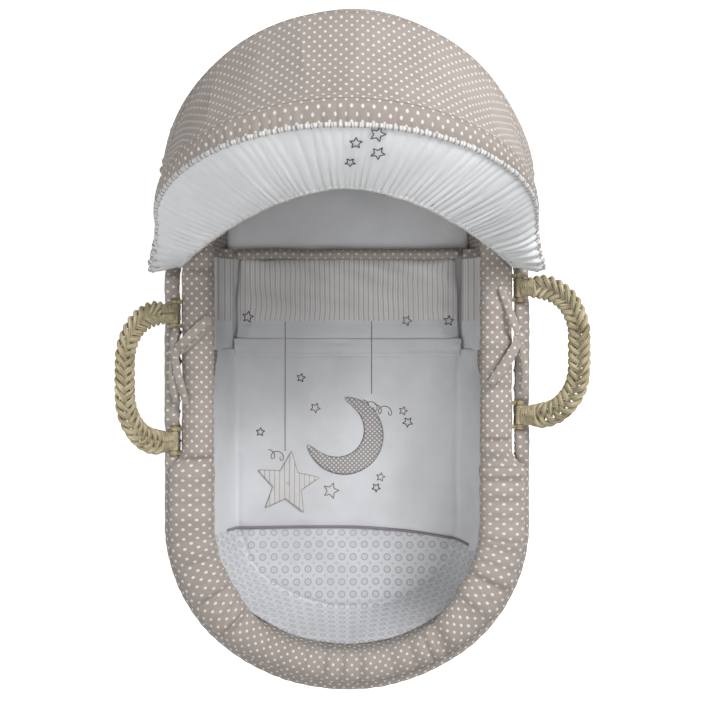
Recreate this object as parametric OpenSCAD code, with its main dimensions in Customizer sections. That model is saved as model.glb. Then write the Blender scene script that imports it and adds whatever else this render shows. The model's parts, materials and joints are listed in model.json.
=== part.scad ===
// Dressed wicker baby basket with a folding hood, two carrying handles and a turn-back coverlet.
// Frame: origin under the middle of the base, +X right, +Y towards the hooded head end, +Z up.

/* [Basket] */
// Half width of the wicker at the rim
rim_half_w = 200; // [180:5:230]
// Half length of the wicker at the rim
rim_half_l = 388; // [320:4:440]
// Height of the wicker rim above the floor
rim_z = 228; // [190:2:270]
// How far the wall leans in between the rim and the base
wall_lean = 34; // [20:1:45]
// Thickness of the woven wall
wall_t = 6; // [4:0.5:9]
// Half length of the straight sides
straight = 208; // [170:2:212]

/* [Mattress and coverlet] */
// Thickness of the mattress
mattress_t = 52; // [40:1:65]
// Thickness of the coverlet
coverlet_t = 20; // [14:1:26]
// Half width of the part of the coverlet that turns back
turn_half_w = 156; // [135:1:158]
// Where the coverlet turns back, measured along the basket
turn_y = 10; // [-40:5:30]
// Head edge of the coverlet
coverlet_head_y = 140; // [100:5:160]

/* [Padded rim and skirt] */
// Radius of the padded roll over the rim
roll_r = 18; // [15:0.5:22]
// How far the skirt stands outside the wicker
skirt_out = 28; // [26:0.5:34]
// How far the skirt hangs below the rim
skirt_drop = 106; // [70:2:140]

/* [Hood] */
// Hood pivot, measured along the basket from the middle
pivot_y = 118; // [112:1:130]
// Crown height of the hoops, from the pivot
hoop_r = 297; // [280:1:310]
// Radius of the hoop rod
rod_r = 2.5; // [2:0.25:3]
// Rest angle of the front hoop above the basket
front_angle = 60; // [50:1:70]
// Rest angle of the rear hoop above the basket
rear_angle = 26; // [22:1:32]

/* [Handles] */
// Half distance between the two roots of a handle
handle_half_span = 78; // [60:1:80]
// Length of the straight root of a handle
handle_leg = 26; // [20:1:40]
// Radius of the corners of a handle
handle_bend = 60; // [50:1:62]
// Width of the braided band
handle_w = 32; // [26:1:36]
// Thickness of the braided band
handle_t = 11; // [9:0.5:13]
// Rest angle of the left handle above level
left_handle_angle = 55; // [30:1:70]
// Rest angle of the right handle above level
right_handle_angle = 42; // [30:1:70]
// Middle of the left handle, measured along the basket
left_handle_y = -28; // [-40:1:0]
// Middle of the right handle, measured along the basket
right_handle_y = 4; // [-20:1:6]

/* [Hidden] */
$fn = 64;
gap = 0.3;                      // space left between neighbouring pieces
turn = atan2(4, 3);             // angle at which the side arc of the oval gives way to the end arc
coil_r = 7;                     // radius of the coil round the foot of the basket
braid_h = 15;                   // height of the braid along the rim
braid_w = 12;
wire_r = 2;
liner_t = 2.5;
floor_z = 0;
floor_t = 6;
mattress_z = floor_z + floor_t + gap;
sheet_t = 1.5;
cover_z = mattress_z + mattress_t + gap;
cover_top = cover_z + coverlet_t;
face_t = 4;                     // outer layer of the coverlet
seam_y = 45;                    // seam between the striped band and the plain panel
binding_w = 13;
piping_y = -230;                // cord between the plain panel and the foot panel
piping_r = 2.6;
tuck_top = rim_z - 42;          // height the tucked edge of the coverlet reaches
skirt_t = 3;
skirt_w = rim_half_w + skirt_out;
skirt_l = rim_half_l + 22;
slit_end_y = -128;
pin_r = 3;
foot_r = 9;
foot_t = 8;
plate_t = 3;
pivot_z = rim_z;
plate_x = rim_half_w - 0.2;
rear_x = plate_x + plate_t + 0.4 + foot_t / 2;
front_x = rear_x + foot_t + 0.4;
shoulder_share = 0.63;          // radius of a hoop's shoulders, as a share of its crown height
shoulder_turn = atan2(3, 4);    // angle at which the shoulder of a hoop gives way to its crown
panel_v = 42;                   // where the cloth of the hood begins, up the hoop legs
hinge_x = rim_half_w + 12.5;
hinge_z = rim_z + 4;
barrel_r = 6;
barrel_l = 24;
handle_pin_r = 2;
lug_t = 5;

// ---- oval of the basket: straight sides, side arcs and end arcs ----

// Distance between the centres of the side arc and the end arc.
function centre_gap(w, l) = (l - straight - w) / (sin(turn) + cos(turn) - 1);
function side_r(w, l) = w + cos(turn) * centre_gap(w, l);
function end_r(w, l) = side_r(w, l) - centre_gap(w, l);

// Points once round the oval, starting at the right-hand side of the head end.
function oval_points(w, l, n = 8) = let (rs = side_r(w, l), rt = end_r(w, l)) concat(
  quarter(w, l, rs, rt, n),
  [for (p = reverse(quarter(w, l, rs, rt, n))) [-p[0], p[1]]],
  [for (p = quarter(w, l, rs, rt, n)) [-p[0], -p[1]]],
  [for (p = reverse(quarter(w, l, rs, rt, n))) [p[0], -p[1]]]);
function quarter(w, l, rs, rt, n) = concat(
  [for (i = [0:n]) let (a = turn * i / n) [w - rs + rs * cos(a), straight + rs * sin(a)]],
  [for (i = [1:n]) let (a = turn + (90 - turn) * (i - 0.5) / n) [rt * cos(a), l - rt + rt * sin(a)]]);
function reverse(v) = [for (i = [len(v) - 1:-1:0]) v[i]];

// Carries a profile (x outwards from the oval, y up) once round the oval.
module oval_sweep(w, l) {
  rs = side_r(w, l);
  rt = end_r(w, l);
  for (m = [0, 1]) mirror([m, 0, 0]) {
    translate([0, straight, 0]) rotate([90, 0, 0]) linear_extrude(2 * straight)
      translate([w, 0]) children();
    for (e = [0, 1]) mirror([0, e, 0]) translate([w - rs, straight, 0]) intersection() {
      rotate_extrude(angle = 90) translate([rs, 0]) children();
      below_line(turn, 2 * rs);
    }
  }
  for (e = [0, 1]) mirror([0, e, 0]) translate([0, l - rt, 0]) difference() {
    rotate_extrude(angle = 180) translate([rt, 0]) children();
    for (m = [0, 1]) mirror([m, 0, 0]) below_line(turn, 2 * rt);
  }
}

// Space clockwise of a line through the origin, where one arc gives way to the next.
module below_line(angle, size) rotate([0, 0, angle]) translate([0, -2 * size, -size])
  cube([size, 2 * size, 2 * size]);

// Outward offset of the wall's outer face at a height.
function wall_d(z) = -wall_lean * (1 - z / (rim_z - braid_h)) - 1;
// Outward offset of the liner's inner face at a height.
function liner_d(z) = wall_d(z) - wall_t - gap - liner_t;

// Leaning band between two heights, drawn between two offsets from the wall's outer face.
module leaning(z0, z1, d0, d1)
  polygon([[wall_d(z0) + d0, z0], [wall_d(z0) + d1, z0], [wall_d(z1) + d1, z1], [wall_d(z1) + d0, z1]]);

// ---- basket ----

module base_coil() color("tan")
  oval_sweep(rim_half_w, rim_half_l) intersection() {
    translate([wall_d(0) - 1, coil_r - 1]) circle(r = coil_r);
    translate([wall_d(0) - 2 * coil_r, 0]) square(4 * coil_r);
  }

module basket_floor() color("burlywood")
  translate([0, 0, floor_z]) linear_extrude(floor_t)
    polygon(oval_points(rim_half_w + wall_d(0) - coil_r - 2, rim_half_l + wall_d(0) - coil_r - 2));

module basket_wall() color("wheat")
  oval_sweep(rim_half_w, rim_half_l) leaning(2 * coil_r + gap, rim_z - braid_h - gap, -wall_t, 0);

module rim_braid() color("tan")
  oval_sweep(rim_half_w, rim_half_l) difference() {
    translate([-braid_w, rim_z - braid_h]) square([braid_w, braid_h]);
    translate([-braid_w / 2, rim_z - braid_h / 2]) circle(r = wire_r + 0.1);
  }

module rim_wire() color("silver")
  oval_sweep(rim_half_w, rim_half_l) translate([-braid_w / 2, rim_z - braid_h / 2]) circle(r = wire_r);

module liner_wall() color("dimgray")
  oval_sweep(rim_half_w, rim_half_l)
    leaning(2 * coil_r + 1, rim_z - roll_r - 2, -wall_t - gap - liner_t, -wall_t - gap);

module rim_bumper() color("rosybrown")
  oval_sweep(rim_half_w, rim_half_l) difference() {
    translate([-roll_r - 0.5, rim_z]) circle(r = roll_r);
    translate([-braid_w - gap, rim_z - 2 * roll_r]) square([2 * braid_w, 2 * roll_r + gap]);
  }

// Flange over the slit, crest and hanging cloth of the skirt, outwards from its oval.
module skirt_profile() {
  flange = skirt_out - 0.2;
  polygon([[-flange, rim_z + 8 - skirt_t], [-flange, rim_z + 8], [-4, rim_z + 8], [-1, rim_z + 5],
           [0, rim_z], [0, rim_z - skirt_drop], [-skirt_t, rim_z - skirt_drop], [-skirt_t, rim_z],
           [-skirt_t - 2, rim_z + 8 - skirt_t]]);
}

// Room for the roots of the handles and the hood to come out beside the roll.
module slit_room() {
  for (m = [0, 1]) mirror([m, 0, 0])
    translate([rim_half_w - 90, slit_end_y, rim_z - 20])
      cube([90 + skirt_out - 5.8, rim_half_l, 60]);
  for (s = [[-1, left_handle_y], [1, right_handle_y]], e = [-1, 1])
    translate([s[0] * (skirt_w - 3), s[1] + e * handle_half_span, rim_z + 5])
      cube([16, handle_w + 12, 36], center = true);
}

module skirt() color("rosybrown") difference() {
  oval_sweep(skirt_w, skirt_l) skirt_profile();
  oval_sweep(rim_half_w, rim_half_l) translate([-60, rim_z - 20]) square([60.2, 60]);
  slit_room();
  translate([-skirt_w, pivot_y + 42, rim_z - 14]) cube([2 * skirt_w, rim_half_l, 60]);
}

module skirt_elastic() color("whitesmoke")
  oval_sweep(skirt_w, skirt_l) translate([-skirt_t / 2, rim_z - skirt_drop - 2.6]) circle(r = 2.2);

// ---- mattress and coverlet ----

function bed_w(z) = rim_half_w + liner_d(z) - 1;
function bed_l(z) = rim_half_l + liner_d(z) - 1;

module mattress_foam() color("lightyellow")
  translate([0, 0, mattress_z + sheet_t + 0.1]) linear_extrude(mattress_t - 2 * sheet_t - 0.2)
    polygon(oval_points(bed_w(mattress_z) - sheet_t - 0.1, bed_l(mattress_z) - sheet_t - 0.1));

module mattress_cover() color("white") difference() {
  translate([0, 0, mattress_z]) linear_extrude(mattress_t)
    polygon(oval_points(bed_w(mattress_z), bed_l(mattress_z)));
  translate([0, 0, mattress_z + sheet_t]) linear_extrude(mattress_t - 2 * sheet_t)
    polygon(oval_points(bed_w(mattress_z) - sheet_t, bed_l(mattress_z) - sheet_t));
}

// Part of the bed between two lines across it, as a flat layer.
module bed_layer(y0, y1, z0, z1, inset = 0) translate([0, 0, z0]) linear_extrude(z1 - z0)
  intersection() {
    polygon(oval_points(bed_w(cover_z) - inset, bed_l(cover_z) - inset));
    translate([-rim_half_w, y0]) square([2 * rim_half_w, y1 - y0]);
  }

// Wadding of the tucked-in part: a flat bed with its edge carried up the liner.
module coverlet_lower() color("gainsboro") {
  bed_layer(-rim_half_l, turn_y - 1, cover_z, cover_top - face_t - gap);
  intersection() {
    oval_sweep(rim_half_w, rim_half_l)
      polygon([[liner_d(cover_z) - 14, cover_z], [liner_d(cover_z) - 1, cover_z],
               [liner_d(tuck_top) - 1, tuck_top], [liner_d(tuck_top) - 7, tuck_top],
               [liner_d(cover_top) - 14, cover_top - face_t - gap]]);
    translate([-rim_half_w, -rim_half_l, 0]) cube([2 * rim_half_w, rim_half_l + turn_y - 1, rim_z]);
  }
}

edge_in = 17;                   // width of the tucked edge beside the top layers

module coverlet_panel() color("white")
  bed_layer(piping_y + piping_r + gap, turn_y - 1, cover_top - face_t, cover_top, edge_in);

module coverlet_foot_panel() color("lightgray")
  bed_layer(-rim_half_l, piping_y - piping_r - gap, cover_top - face_t, cover_top, edge_in);

module coverlet_piping() color("gray")
  translate([-bed_w(cover_z) + edge_in + 14, piping_y, cover_top - 1]) rotate([0, 90, 0])
    cylinder(h = 2 * (bed_w(cover_z) - edge_in - 14), r = piping_r);

module coverlet_upper() color("white") {
  translate([-turn_half_w, turn_y + 1, cover_z])
    cube([2 * turn_half_w, coverlet_head_y - binding_w - turn_y - 1, coverlet_t - face_t - gap]);
  translate([-turn_half_w, turn_y + 1, cover_z])
    cube([2 * turn_half_w, seam_y - turn_y - 1, coverlet_t]);
}

module coverlet_band() color("silver")
  translate([-turn_half_w, seam_y + gap, cover_top - face_t])
    cube([2 * turn_half_w, coverlet_head_y - binding_w - seam_y - gap, face_t]);

module coverlet_binding() color("dimgray")
  translate([-turn_half_w, coverlet_head_y - binding_w + gap, cover_z])
    cube([2 * turn_half_w, binding_w, coverlet_t]);

// ---- hood ----

// Stands a piece drawn flat (x across, y up the hoop, z towards the foot end) at the pivot.
module at_pivot(angle) translate([0, pivot_y, pivot_z]) rotate([angle, 0, 0]) children();

// Radius of the crown, and height of the legs, of a hoop of half width w and crown height r.
function shoulder_r(r) = shoulder_share * r;
function crown_r(w, r) = shoulder_r(r) + (w - shoulder_r(r)) / cos(shoulder_turn);
function leg_h(w, r) = r - crown_r(w, r) + (crown_r(w, r) - shoulder_r(r)) * sin(shoulder_turn);

// Rod bent to a hoop: two legs, two shoulders and a crown.
module hoop(w, r, rod, start) {
  for (m = [0, 1]) mirror([m, 0, 0]) {
    translate([w, start, 0]) rotate([-90, 0, 0]) cylinder(h = leg_h(w, r) - start, r = rod);
    translate([w - shoulder_r(r), leg_h(w, r), 0]) intersection() {
      rotate_extrude(angle = 90) translate([shoulder_r(r), 0]) circle(r = rod);
      below_line(shoulder_turn, 2 * shoulder_r(r));
    }
  }
  translate([0, r - crown_r(w, r), 0]) difference() {
    rotate_extrude(angle = 180) translate([crown_r(w, r), 0]) circle(r = rod);
    for (m = [0, 1]) mirror([m, 0, 0]) below_line(shoulder_turn, 2 * crown_r(w, r));
  }
}

module hoop_foot(x) for (m = [0, 1]) mirror([m, 0, 0]) difference() {
  union() {
    translate([x - foot_t / 2, 0, 0]) rotate([0, 90, 0]) cylinder(h = foot_t, r = foot_r);
    translate([x, 0, 0]) rotate([-90, 0, 0]) cylinder(h = 30, r = foot_t / 2 - 0.05);
  }
  translate([x - foot_t, 0, 0]) rotate([0, 90, 0]) cylinder(h = 2 * foot_t, r = pin_r + 0.05);
  translate([x, 14, 0]) rotate([-90, 0, 0]) cylinder(h = 30, r = rod_r + 0.05);
}

module rear_hoop() color("silver") at_pivot(rear_angle) hoop(rear_x, hoop_r, rod_r, 14.2);
module rear_hoop_feet() color("white") at_pivot(rear_angle) hoop_foot(rear_x);
module front_hoop() color("silver") at_pivot(front_angle) hoop(front_x, hoop_r, rod_r, 14.2);
module front_hoop_feet() color("white") at_pivot(front_angle) hoop_foot(front_x);

module hood_bracket(side) color("white") difference() {
  mirror([side < 0 ? 1 : 0, 0, 0]) union() {
    translate([plate_x + gap, pivot_y - 11, rim_z - 44]) cube([plate_t - gap, 22, 44]);
    translate([plate_x + gap, pivot_y, pivot_z]) rotate([0, 90, 0]) cylinder(h = plate_t - gap, r = 11);
  }
  translate([-rim_half_w * 2, pivot_y, pivot_z]) rotate([0, 90, 0])
    cylinder(h = rim_half_w * 4, r = pin_r + 0.05);
}
module hood_bracket_left() hood_bracket(-1);
module hood_bracket_right() hood_bracket(1);

module pivot_pin(side) color("silver") mirror([side < 0 ? 1 : 0, 0, 0])
  translate([plate_x + gap, pivot_y, pivot_z]) rotate([0, 90, 0]) {
    cylinder(h = 2 * foot_t + plate_t + 1, r = pin_r);
    translate([0, 0, 2 * foot_t + plate_t + 0.9]) cylinder(h = 1.2, r = 5.5);
  }
module pivot_pin_left() pivot_pin(-1);
module pivot_pin_right() pivot_pin(1);

// Points along a hoop-shaped line, from the right leg over the crown to the left leg.
function arch_points(w, r, angle, n = 22) = let (rc = crown_r(w, r), sh = shoulder_r(r), leg = leg_h(w, r))
  concat([stand([w, panel_v], angle)],
    [for (i = [0:n]) let (a = 180 * i / n)
      stand(a < shoulder_turn ? [w - sh + sh * cos(a), leg + sh * sin(a)]
        : a > 180 - shoulder_turn ? [sh - w + sh * cos(a), leg + sh * sin(a)]
        : [rc * cos(a), r - rc + rc * sin(a)], angle)],
    [stand([-w, panel_v], angle)]);
function stand(p, angle) = [p[0], pivot_y + p[1] * cos(angle), pivot_z + p[1] * sin(angle)];

// Line along the hem of the hood, round the head end of the basket.
function hem_points(w, l, z, n = 22) = let (rs = side_r(w, l), rt = end_r(w, l))
  concat([[w, pivot_y + 16, z + 20]],
    [for (i = [0:n]) let (a = 180 * i / n)
      a < turn ? [w - rs + rs * cos(a), straight + rs * sin(a), z + 14 * cos(2 * a)]
        : a > 180 - turn ? [rs - w + rs * cos(a), straight + rs * sin(a), z + 14 * cos(2 * a)]
        : [rt * cos(a), l - rt + rt * sin(a), z]],
    [[-w, pivot_y + 16, z + 20]]);

hub = [0, pivot_y + 60, pivot_z - 40];
function towards_hub(p, d) = hub + (p - hub) * (1 - d / norm(p - hub));
function mix(p, q, t, lift) = [for (i = [0:len(p) - 1])
  towards_hub(p[i] * (1 - t) + q[i] * t, -lift * 4 * t * (1 - t))];

// Closed sheet of cloth through rows of points, with its thickness towards the hub.
module cloth(rows, t) {
  m = len(rows);
  n = len(rows[0]);
  pts = [for (row = rows) each row];
  inner = [for (p = pts) towards_hub(p, t)];
  k = m * n;
  polyhedron(concat(pts, inner), concat(
    [for (j = [0:m - 2], i = [0:n - 2]) each
      [[j * n + i, j * n + i + 1, (j + 1) * n + i + 1], [j * n + i, (j + 1) * n + i + 1, (j + 1) * n + i]]],
    [for (j = [0:m - 2], i = [0:n - 2]) each
      [[k + j * n + i + 1, k + j * n + i, k + (j + 1) * n + i],
       [k + j * n + i + 1, k + (j + 1) * n + i, k + (j + 1) * n + i + 1]]],
    [for (i = [0:n - 2]) each
      [[i + 1, i, k + i], [i + 1, k + i, k + i + 1],
       [k - n + i, k - n + i + 1, 2 * k - n + i + 1], [k - n + i, 2 * k - n + i + 1, 2 * k - n + i]]],
    [for (j = [0:m - 2]) each
      [[j * n, (j + 1) * n, k + (j + 1) * n], [j * n, k + (j + 1) * n, k + j * n],
       [(j + 1) * n + n - 1, j * n + n - 1, k + j * n + n - 1],
       [(j + 1) * n + n - 1, k + j * n + n - 1, k + (j + 1) * n + n - 1]]]));
}

over = rod_r + 3;               // cloth line outside the middle of the rod
cloth_t = 2;
function over_arch(x, r, angle) = arch_points(x + over, r + over, angle);
rear_line = over_arch(rear_x, hoop_r, rear_angle + 0.8);
rear_hem_line = over_arch(rear_x, hoop_r, rear_angle);
front_line = over_arch(front_x, hoop_r, front_angle);
front_edge = over_arch(front_x, hoop_r, front_angle + 0.4);
strip_line = over_arch(front_x - 1, hoop_r - 16, front_angle + 3.4);
frill_start = over_arch(front_x - 1, hoop_r - 18, front_angle + 4.6);
frill_line = over_arch(front_x - 9, hoop_r - 79, front_angle + 9.6);

module canopy_back() color("rosybrown")
  cloth([for (t = [0, 0.5, 1]) mix(hem_points(skirt_w + 5, rim_half_l + 34, rim_z - 16),
                                   rear_hem_line, t, 6)], cloth_t);
module canopy_top() color("rosybrown")
  cloth([for (t = [0, 0.5, 1]) mix(rear_line, front_line, t, 2)], cloth_t);
module visor_strip() color("rosybrown") cloth([front_edge, strip_line], cloth_t);
module frill() color("whitesmoke")
  cloth([for (t = [0, 0.5, 1]) mix(frill_start, frill_line, t, 4)], cloth_t);
module visor_piping() color("gray")
  at_pivot(front_angle + 4) hoop(front_x, hoop_r - 14, 1.6, 64);
module frill_elastic() color("silver")
  at_pivot(front_angle + 10.8) hoop(front_x - 6, hoop_r - 78, 2, 32);

// ---- handles ----

// Places a piece drawn with its hinge along Y at the origin and x outwards.
module at_handle(side, y, angle)
  translate([side * hinge_x, y, hinge_z]) mirror([side < 0 ? 1 : 0, 0, 0])
    rotate([0, -angle, 0]) children();

module band_profile() {
  square([handle_w - handle_t, handle_t], center = true);
  for (s = [-1, 1]) translate([s * (handle_w - handle_t) / 2, 0]) circle(d = handle_t);
}

module handle_half() {
  translate([barrel_r - 1, handle_half_span, 0]) rotate([0, 90, 0]) rotate([0, 0, 90])
    linear_extrude(handle_leg - barrel_r + 1) band_profile();
  translate([handle_leg, handle_half_span - handle_bend, 0]) rotate_extrude(angle = 90)
    translate([handle_bend, 0]) band_profile();
  translate([handle_leg + handle_bend, handle_half_span - handle_bend, 0]) rotate([90, 0, 0])
    linear_extrude(handle_half_span - handle_bend) band_profile();
  translate([0, handle_half_span - barrel_l / 2, 0]) rotate([-90, 0, 0])
    cylinder(h = barrel_l, r = barrel_r);
}

module braid_eyes() {
  eye_r = 2.6;
  for (s = [-1, 1]) {
    for (a = [12:19:88])
      translate([handle_leg + handle_bend * cos(a), s * (handle_half_span - handle_bend + handle_bend * sin(a)),
                 -handle_t]) cylinder(h = 2 * handle_t, r = eye_r);
    translate([handle_leg + handle_bend, s * 8, -handle_t]) cylinder(h = 2 * handle_t, r = eye_r);
  }
}

module carry_handle(side, y, angle) color("darkkhaki") at_handle(side, y, angle) difference() {
  union() {
    handle_half();
    mirror([0, 1, 0]) handle_half();
  }
  for (s = [-1, 1]) translate([0, s * handle_half_span - barrel_l, 0]) rotate([-90, 0, 0])
    cylinder(h = 2 * barrel_l, r = handle_pin_r + 0.05);
  braid_eyes();
}
module handle_left() carry_handle(-1, left_handle_y, left_handle_angle);
module handle_right() carry_handle(1, right_handle_y, right_handle_angle);

module handle_pin(side, y) color("peru") at_handle(side, y, 0)
  for (s = [-1, 1]) translate([0, s * handle_half_span - barrel_l / 2 - lug_t - 1, 0])
    rotate([-90, 0, 0]) cylinder(h = barrel_l + 2 * lug_t + 2, r = handle_pin_r);
module handle_pin_left() handle_pin(-1, left_handle_y);
module handle_pin_right() handle_pin(1, right_handle_y);

// Lashings on the outside of the rim that carry the two pins of a handle.
module handle_anchor(side, y) color("tan") at_handle(side, y, 0)
  for (s = [-1, 1]) difference() {
    union() {
      for (e = [-1, 1])
        translate([0, s * handle_half_span + e * (barrel_l / 2 + gap + lug_t / 2) - lug_t / 2, 0]) {
          rotate([-90, 0, 0]) cylinder(h = lug_t, r = 4.5);
          translate([-12.2, 0, -4.5]) cube([12.2, lug_t, 4.5]);
        }
      translate([-12.2, s * handle_half_span - barrel_l / 2 - lug_t - gap, -52])
        cube([3, barrel_l + 2 * lug_t + 2 * gap, 50]);
    }
    translate([0, s * handle_half_span - 2 * barrel_l, 0]) rotate([-90, 0, 0])
      cylinder(h = 4 * barrel_l, r = handle_pin_r + 0.05);
  }
module handle_anchor_left() handle_anchor(-1, left_handle_y);
module handle_anchor_right() handle_anchor(1, right_handle_y);

// ---- ties across the slits ----

module bow(side, y) color("rosybrown") mirror([side < 0 ? 1 : 0, 0, 0])
  translate([rim_half_w + 10, y, rim_z + 16]) {
    sphere(r = 7.5);
    for (s = [-1, 1]) {
      rotate([0, 0, 180 - s * 50]) translate([2, -6, 4.2]) cube([28, 12, 4]);
      rotate([0, 0, s * 85]) translate([3, -5, -3]) cube([24, 10, 3]);
    }
  }
module tie_left() bow(-1, 2);
module tie_right() bow(1, 20);

base_coil();
basket_floor();
basket_wall();
rim_braid();
rim_wire();
liner_wall();
rim_bumper();
skirt();
skirt_elastic();
mattress_foam();
mattress_cover();
coverlet_lower();
coverlet_panel();
coverlet_foot_panel();
coverlet_piping();
coverlet_upper();
coverlet_band();
coverlet_binding();
hood_bracket_left();
hood_bracket_right();
pivot_pin_left();
pivot_pin_right();
rear_hoop();
rear_hoop_feet();
front_hoop();
front_hoop_feet();
canopy_back();
canopy_top();
visor_strip();
visor_piping();
frill();
frill_elastic();
handle_anchor_left();
handle_anchor_right();
handle_pin_left();
handle_pin_right();
handle_left();
handle_right();
tie_left();
tie_right();
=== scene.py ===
"""Dressed wicker baby basket: woven wall, padded rim, skirt, bedding, folding hood, plaited handles."""
import json
import logging
import math
from dataclasses import dataclass
from enum import Enum
from typing import Callable, Optional, Sequence

import bmesh
import bpy
import numpy as np
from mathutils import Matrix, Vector

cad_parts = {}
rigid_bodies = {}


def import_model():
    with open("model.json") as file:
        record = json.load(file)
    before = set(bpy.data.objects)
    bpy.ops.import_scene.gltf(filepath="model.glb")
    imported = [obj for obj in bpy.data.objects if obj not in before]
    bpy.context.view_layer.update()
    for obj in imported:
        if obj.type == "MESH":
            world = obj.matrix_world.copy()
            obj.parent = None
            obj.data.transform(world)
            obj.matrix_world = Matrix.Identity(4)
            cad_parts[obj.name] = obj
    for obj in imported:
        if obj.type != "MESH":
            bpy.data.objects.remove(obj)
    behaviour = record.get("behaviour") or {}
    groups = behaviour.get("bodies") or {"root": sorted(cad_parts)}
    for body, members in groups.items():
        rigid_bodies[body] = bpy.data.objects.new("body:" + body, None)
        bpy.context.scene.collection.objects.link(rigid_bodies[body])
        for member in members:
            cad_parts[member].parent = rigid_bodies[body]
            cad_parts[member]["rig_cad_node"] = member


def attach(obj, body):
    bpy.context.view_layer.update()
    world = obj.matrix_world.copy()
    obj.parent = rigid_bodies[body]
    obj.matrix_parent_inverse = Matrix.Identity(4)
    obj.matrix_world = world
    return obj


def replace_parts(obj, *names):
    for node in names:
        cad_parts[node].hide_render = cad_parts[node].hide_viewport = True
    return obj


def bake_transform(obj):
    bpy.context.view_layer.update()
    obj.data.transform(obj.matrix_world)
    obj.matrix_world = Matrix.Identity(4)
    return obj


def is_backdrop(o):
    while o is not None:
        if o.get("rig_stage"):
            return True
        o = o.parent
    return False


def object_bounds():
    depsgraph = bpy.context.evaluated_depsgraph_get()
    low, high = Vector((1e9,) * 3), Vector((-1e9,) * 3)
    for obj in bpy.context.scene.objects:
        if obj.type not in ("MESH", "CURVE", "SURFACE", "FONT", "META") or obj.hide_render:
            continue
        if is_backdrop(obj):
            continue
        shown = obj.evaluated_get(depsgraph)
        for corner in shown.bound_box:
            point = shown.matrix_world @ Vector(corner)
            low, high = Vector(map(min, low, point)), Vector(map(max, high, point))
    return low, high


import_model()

Array = np.ndarray
LOG = logging.getLogger("basket")
CAD_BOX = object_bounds()

MM = 0.001
RIM_Z = 228 * MM            # height of the wicker rim
RIM_HALF_W = 200 * MM
RIM_HALF_L = 388 * MM
STRAIGHT = 208 * MM         # half length of the straight sides
WALL_LEAN = 34 * MM
BRAID_H = 15 * MM
WALL_T = 6 * MM
LINER_GAP = 8.8 * MM        # from the wall's outer face to the liner's inner face
COVER_TOP = 78.6 * MM       # flat top of the coverlet
TURN_Y = 10 * MM            # where the coverlet turns back
SEAM_Y = 45 * MM            # seam between the striped band and the plain panel
HEAD_Y = 140 * MM           # head edge of the coverlet
PIVOT = (118 * MM, RIM_Z)   # y and z of the hood's pivot
SLIT_END_Y = -128 * MM      # where the slit beside the roll ends, towards the foot


# ---------------------------------------------------------------- numbers on arrays

def ease(a: float, b: float, x: Array) -> Array:
    """Smooth step: 0 before a, 1 after b, and 3t^2 - 2t^3 of the share t of the way between them.

    Args:
        a: value at which the step begins.
        b: value at which it ends; it may be the smaller one.
        x: values to step.
    Returns:
        The step at each value.
    """
    t = np.clip((np.asarray(x, float) - a) / (b - a), 0.0, 1.0)
    return t * t * (3.0 - 2.0 * t)


def ripple(a: Array, b: Array, seed: int, pitch: float, waves: int = 7) -> Array:
    """Soft uneven surface: a sum of sine waves whose directions, lengths and phases come from a seed.

    Args:
        a: first coordinate in metres.
        b: second coordinate in metres.
        seed: number that fixes the waves.
        pitch: typical wave length in metres.
        waves: how many waves are added up.
    Returns:
        Values of about -1 to 1, of the shape of a and b together.
    """
    rng = np.random.default_rng(seed)
    total = np.zeros(np.broadcast(a, b).shape)
    for _ in range(waves):
        angle, phase = rng.uniform(0, math.tau, 2)
        k = math.tau / (pitch * rng.uniform(0.65, 1.6))
        total += np.sin(k * (a * math.cos(angle) + b * math.sin(angle)) + phase)
    return total / math.sqrt(2.0 * waves)


def gathers(s: Array, seed: int, pitch: float) -> Array:
    """Gathered cloth along a seam: rounded crests with narrow valleys, of uneven width and height.

    The phase runs along s with a slow wander, and a crest is 1 - |sin|, turned over and eased.

    Args:
        s: distance along the seam in metres.
        seed: number that fixes the wander.
        pitch: mean width of one gather.
    Returns:
        0 in the valleys up to about 1 on the crests.
    """
    zero = np.zeros_like(s)
    wander = ripple(s, zero, seed, 7.0 * pitch) * 0.9 + ripple(s, zero, seed + 1, 2.6 * pitch) * 0.45
    crest = np.abs(np.sin(math.pi * s / pitch + wander * 1.7)) ** 0.7
    return crest * (0.72 + 0.28 * ripple(s, zero, seed + 2, 4.0 * pitch))


def closed_ripple(turns: Array, seed: int, low: int, high: int) -> Array:
    """Uneven wave that closes on itself once round: sines of whole numbers of waves.

    Args:
        turns: place round the loop, 0 to 1.
        seed: number that fixes phases and counts.
        low: fewest waves round.
        high: most waves round.
    Returns:
        Values of about -1 to 1.
    """
    rng = np.random.default_rng(seed)
    counts = rng.integers(low, high + 1, 8)
    phases = rng.uniform(0, math.tau, 8)
    return sum(np.sin(math.tau * n * turns + p) for n, p in zip(counts, phases)) / 4.0


def unit(v: Array) -> Array:
    """Vectors along the last axis, made one metre long."""
    return v / np.maximum(np.linalg.norm(v, axis=-1, keepdims=True), 1e-12)


def wall_d(z: Array) -> Array:
    """Outward offset of the wall's outer face from the rim's oval, at heights z: it leans in below."""
    return -WALL_LEAN * (1 - np.asarray(z, float) / (RIM_Z - BRAID_H)) - 1 * MM


def liner_d(z: Array) -> Array:
    """Outward offset of the liner's inner face from the rim's oval, at heights z."""
    return wall_d(z) - LINER_GAP


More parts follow.
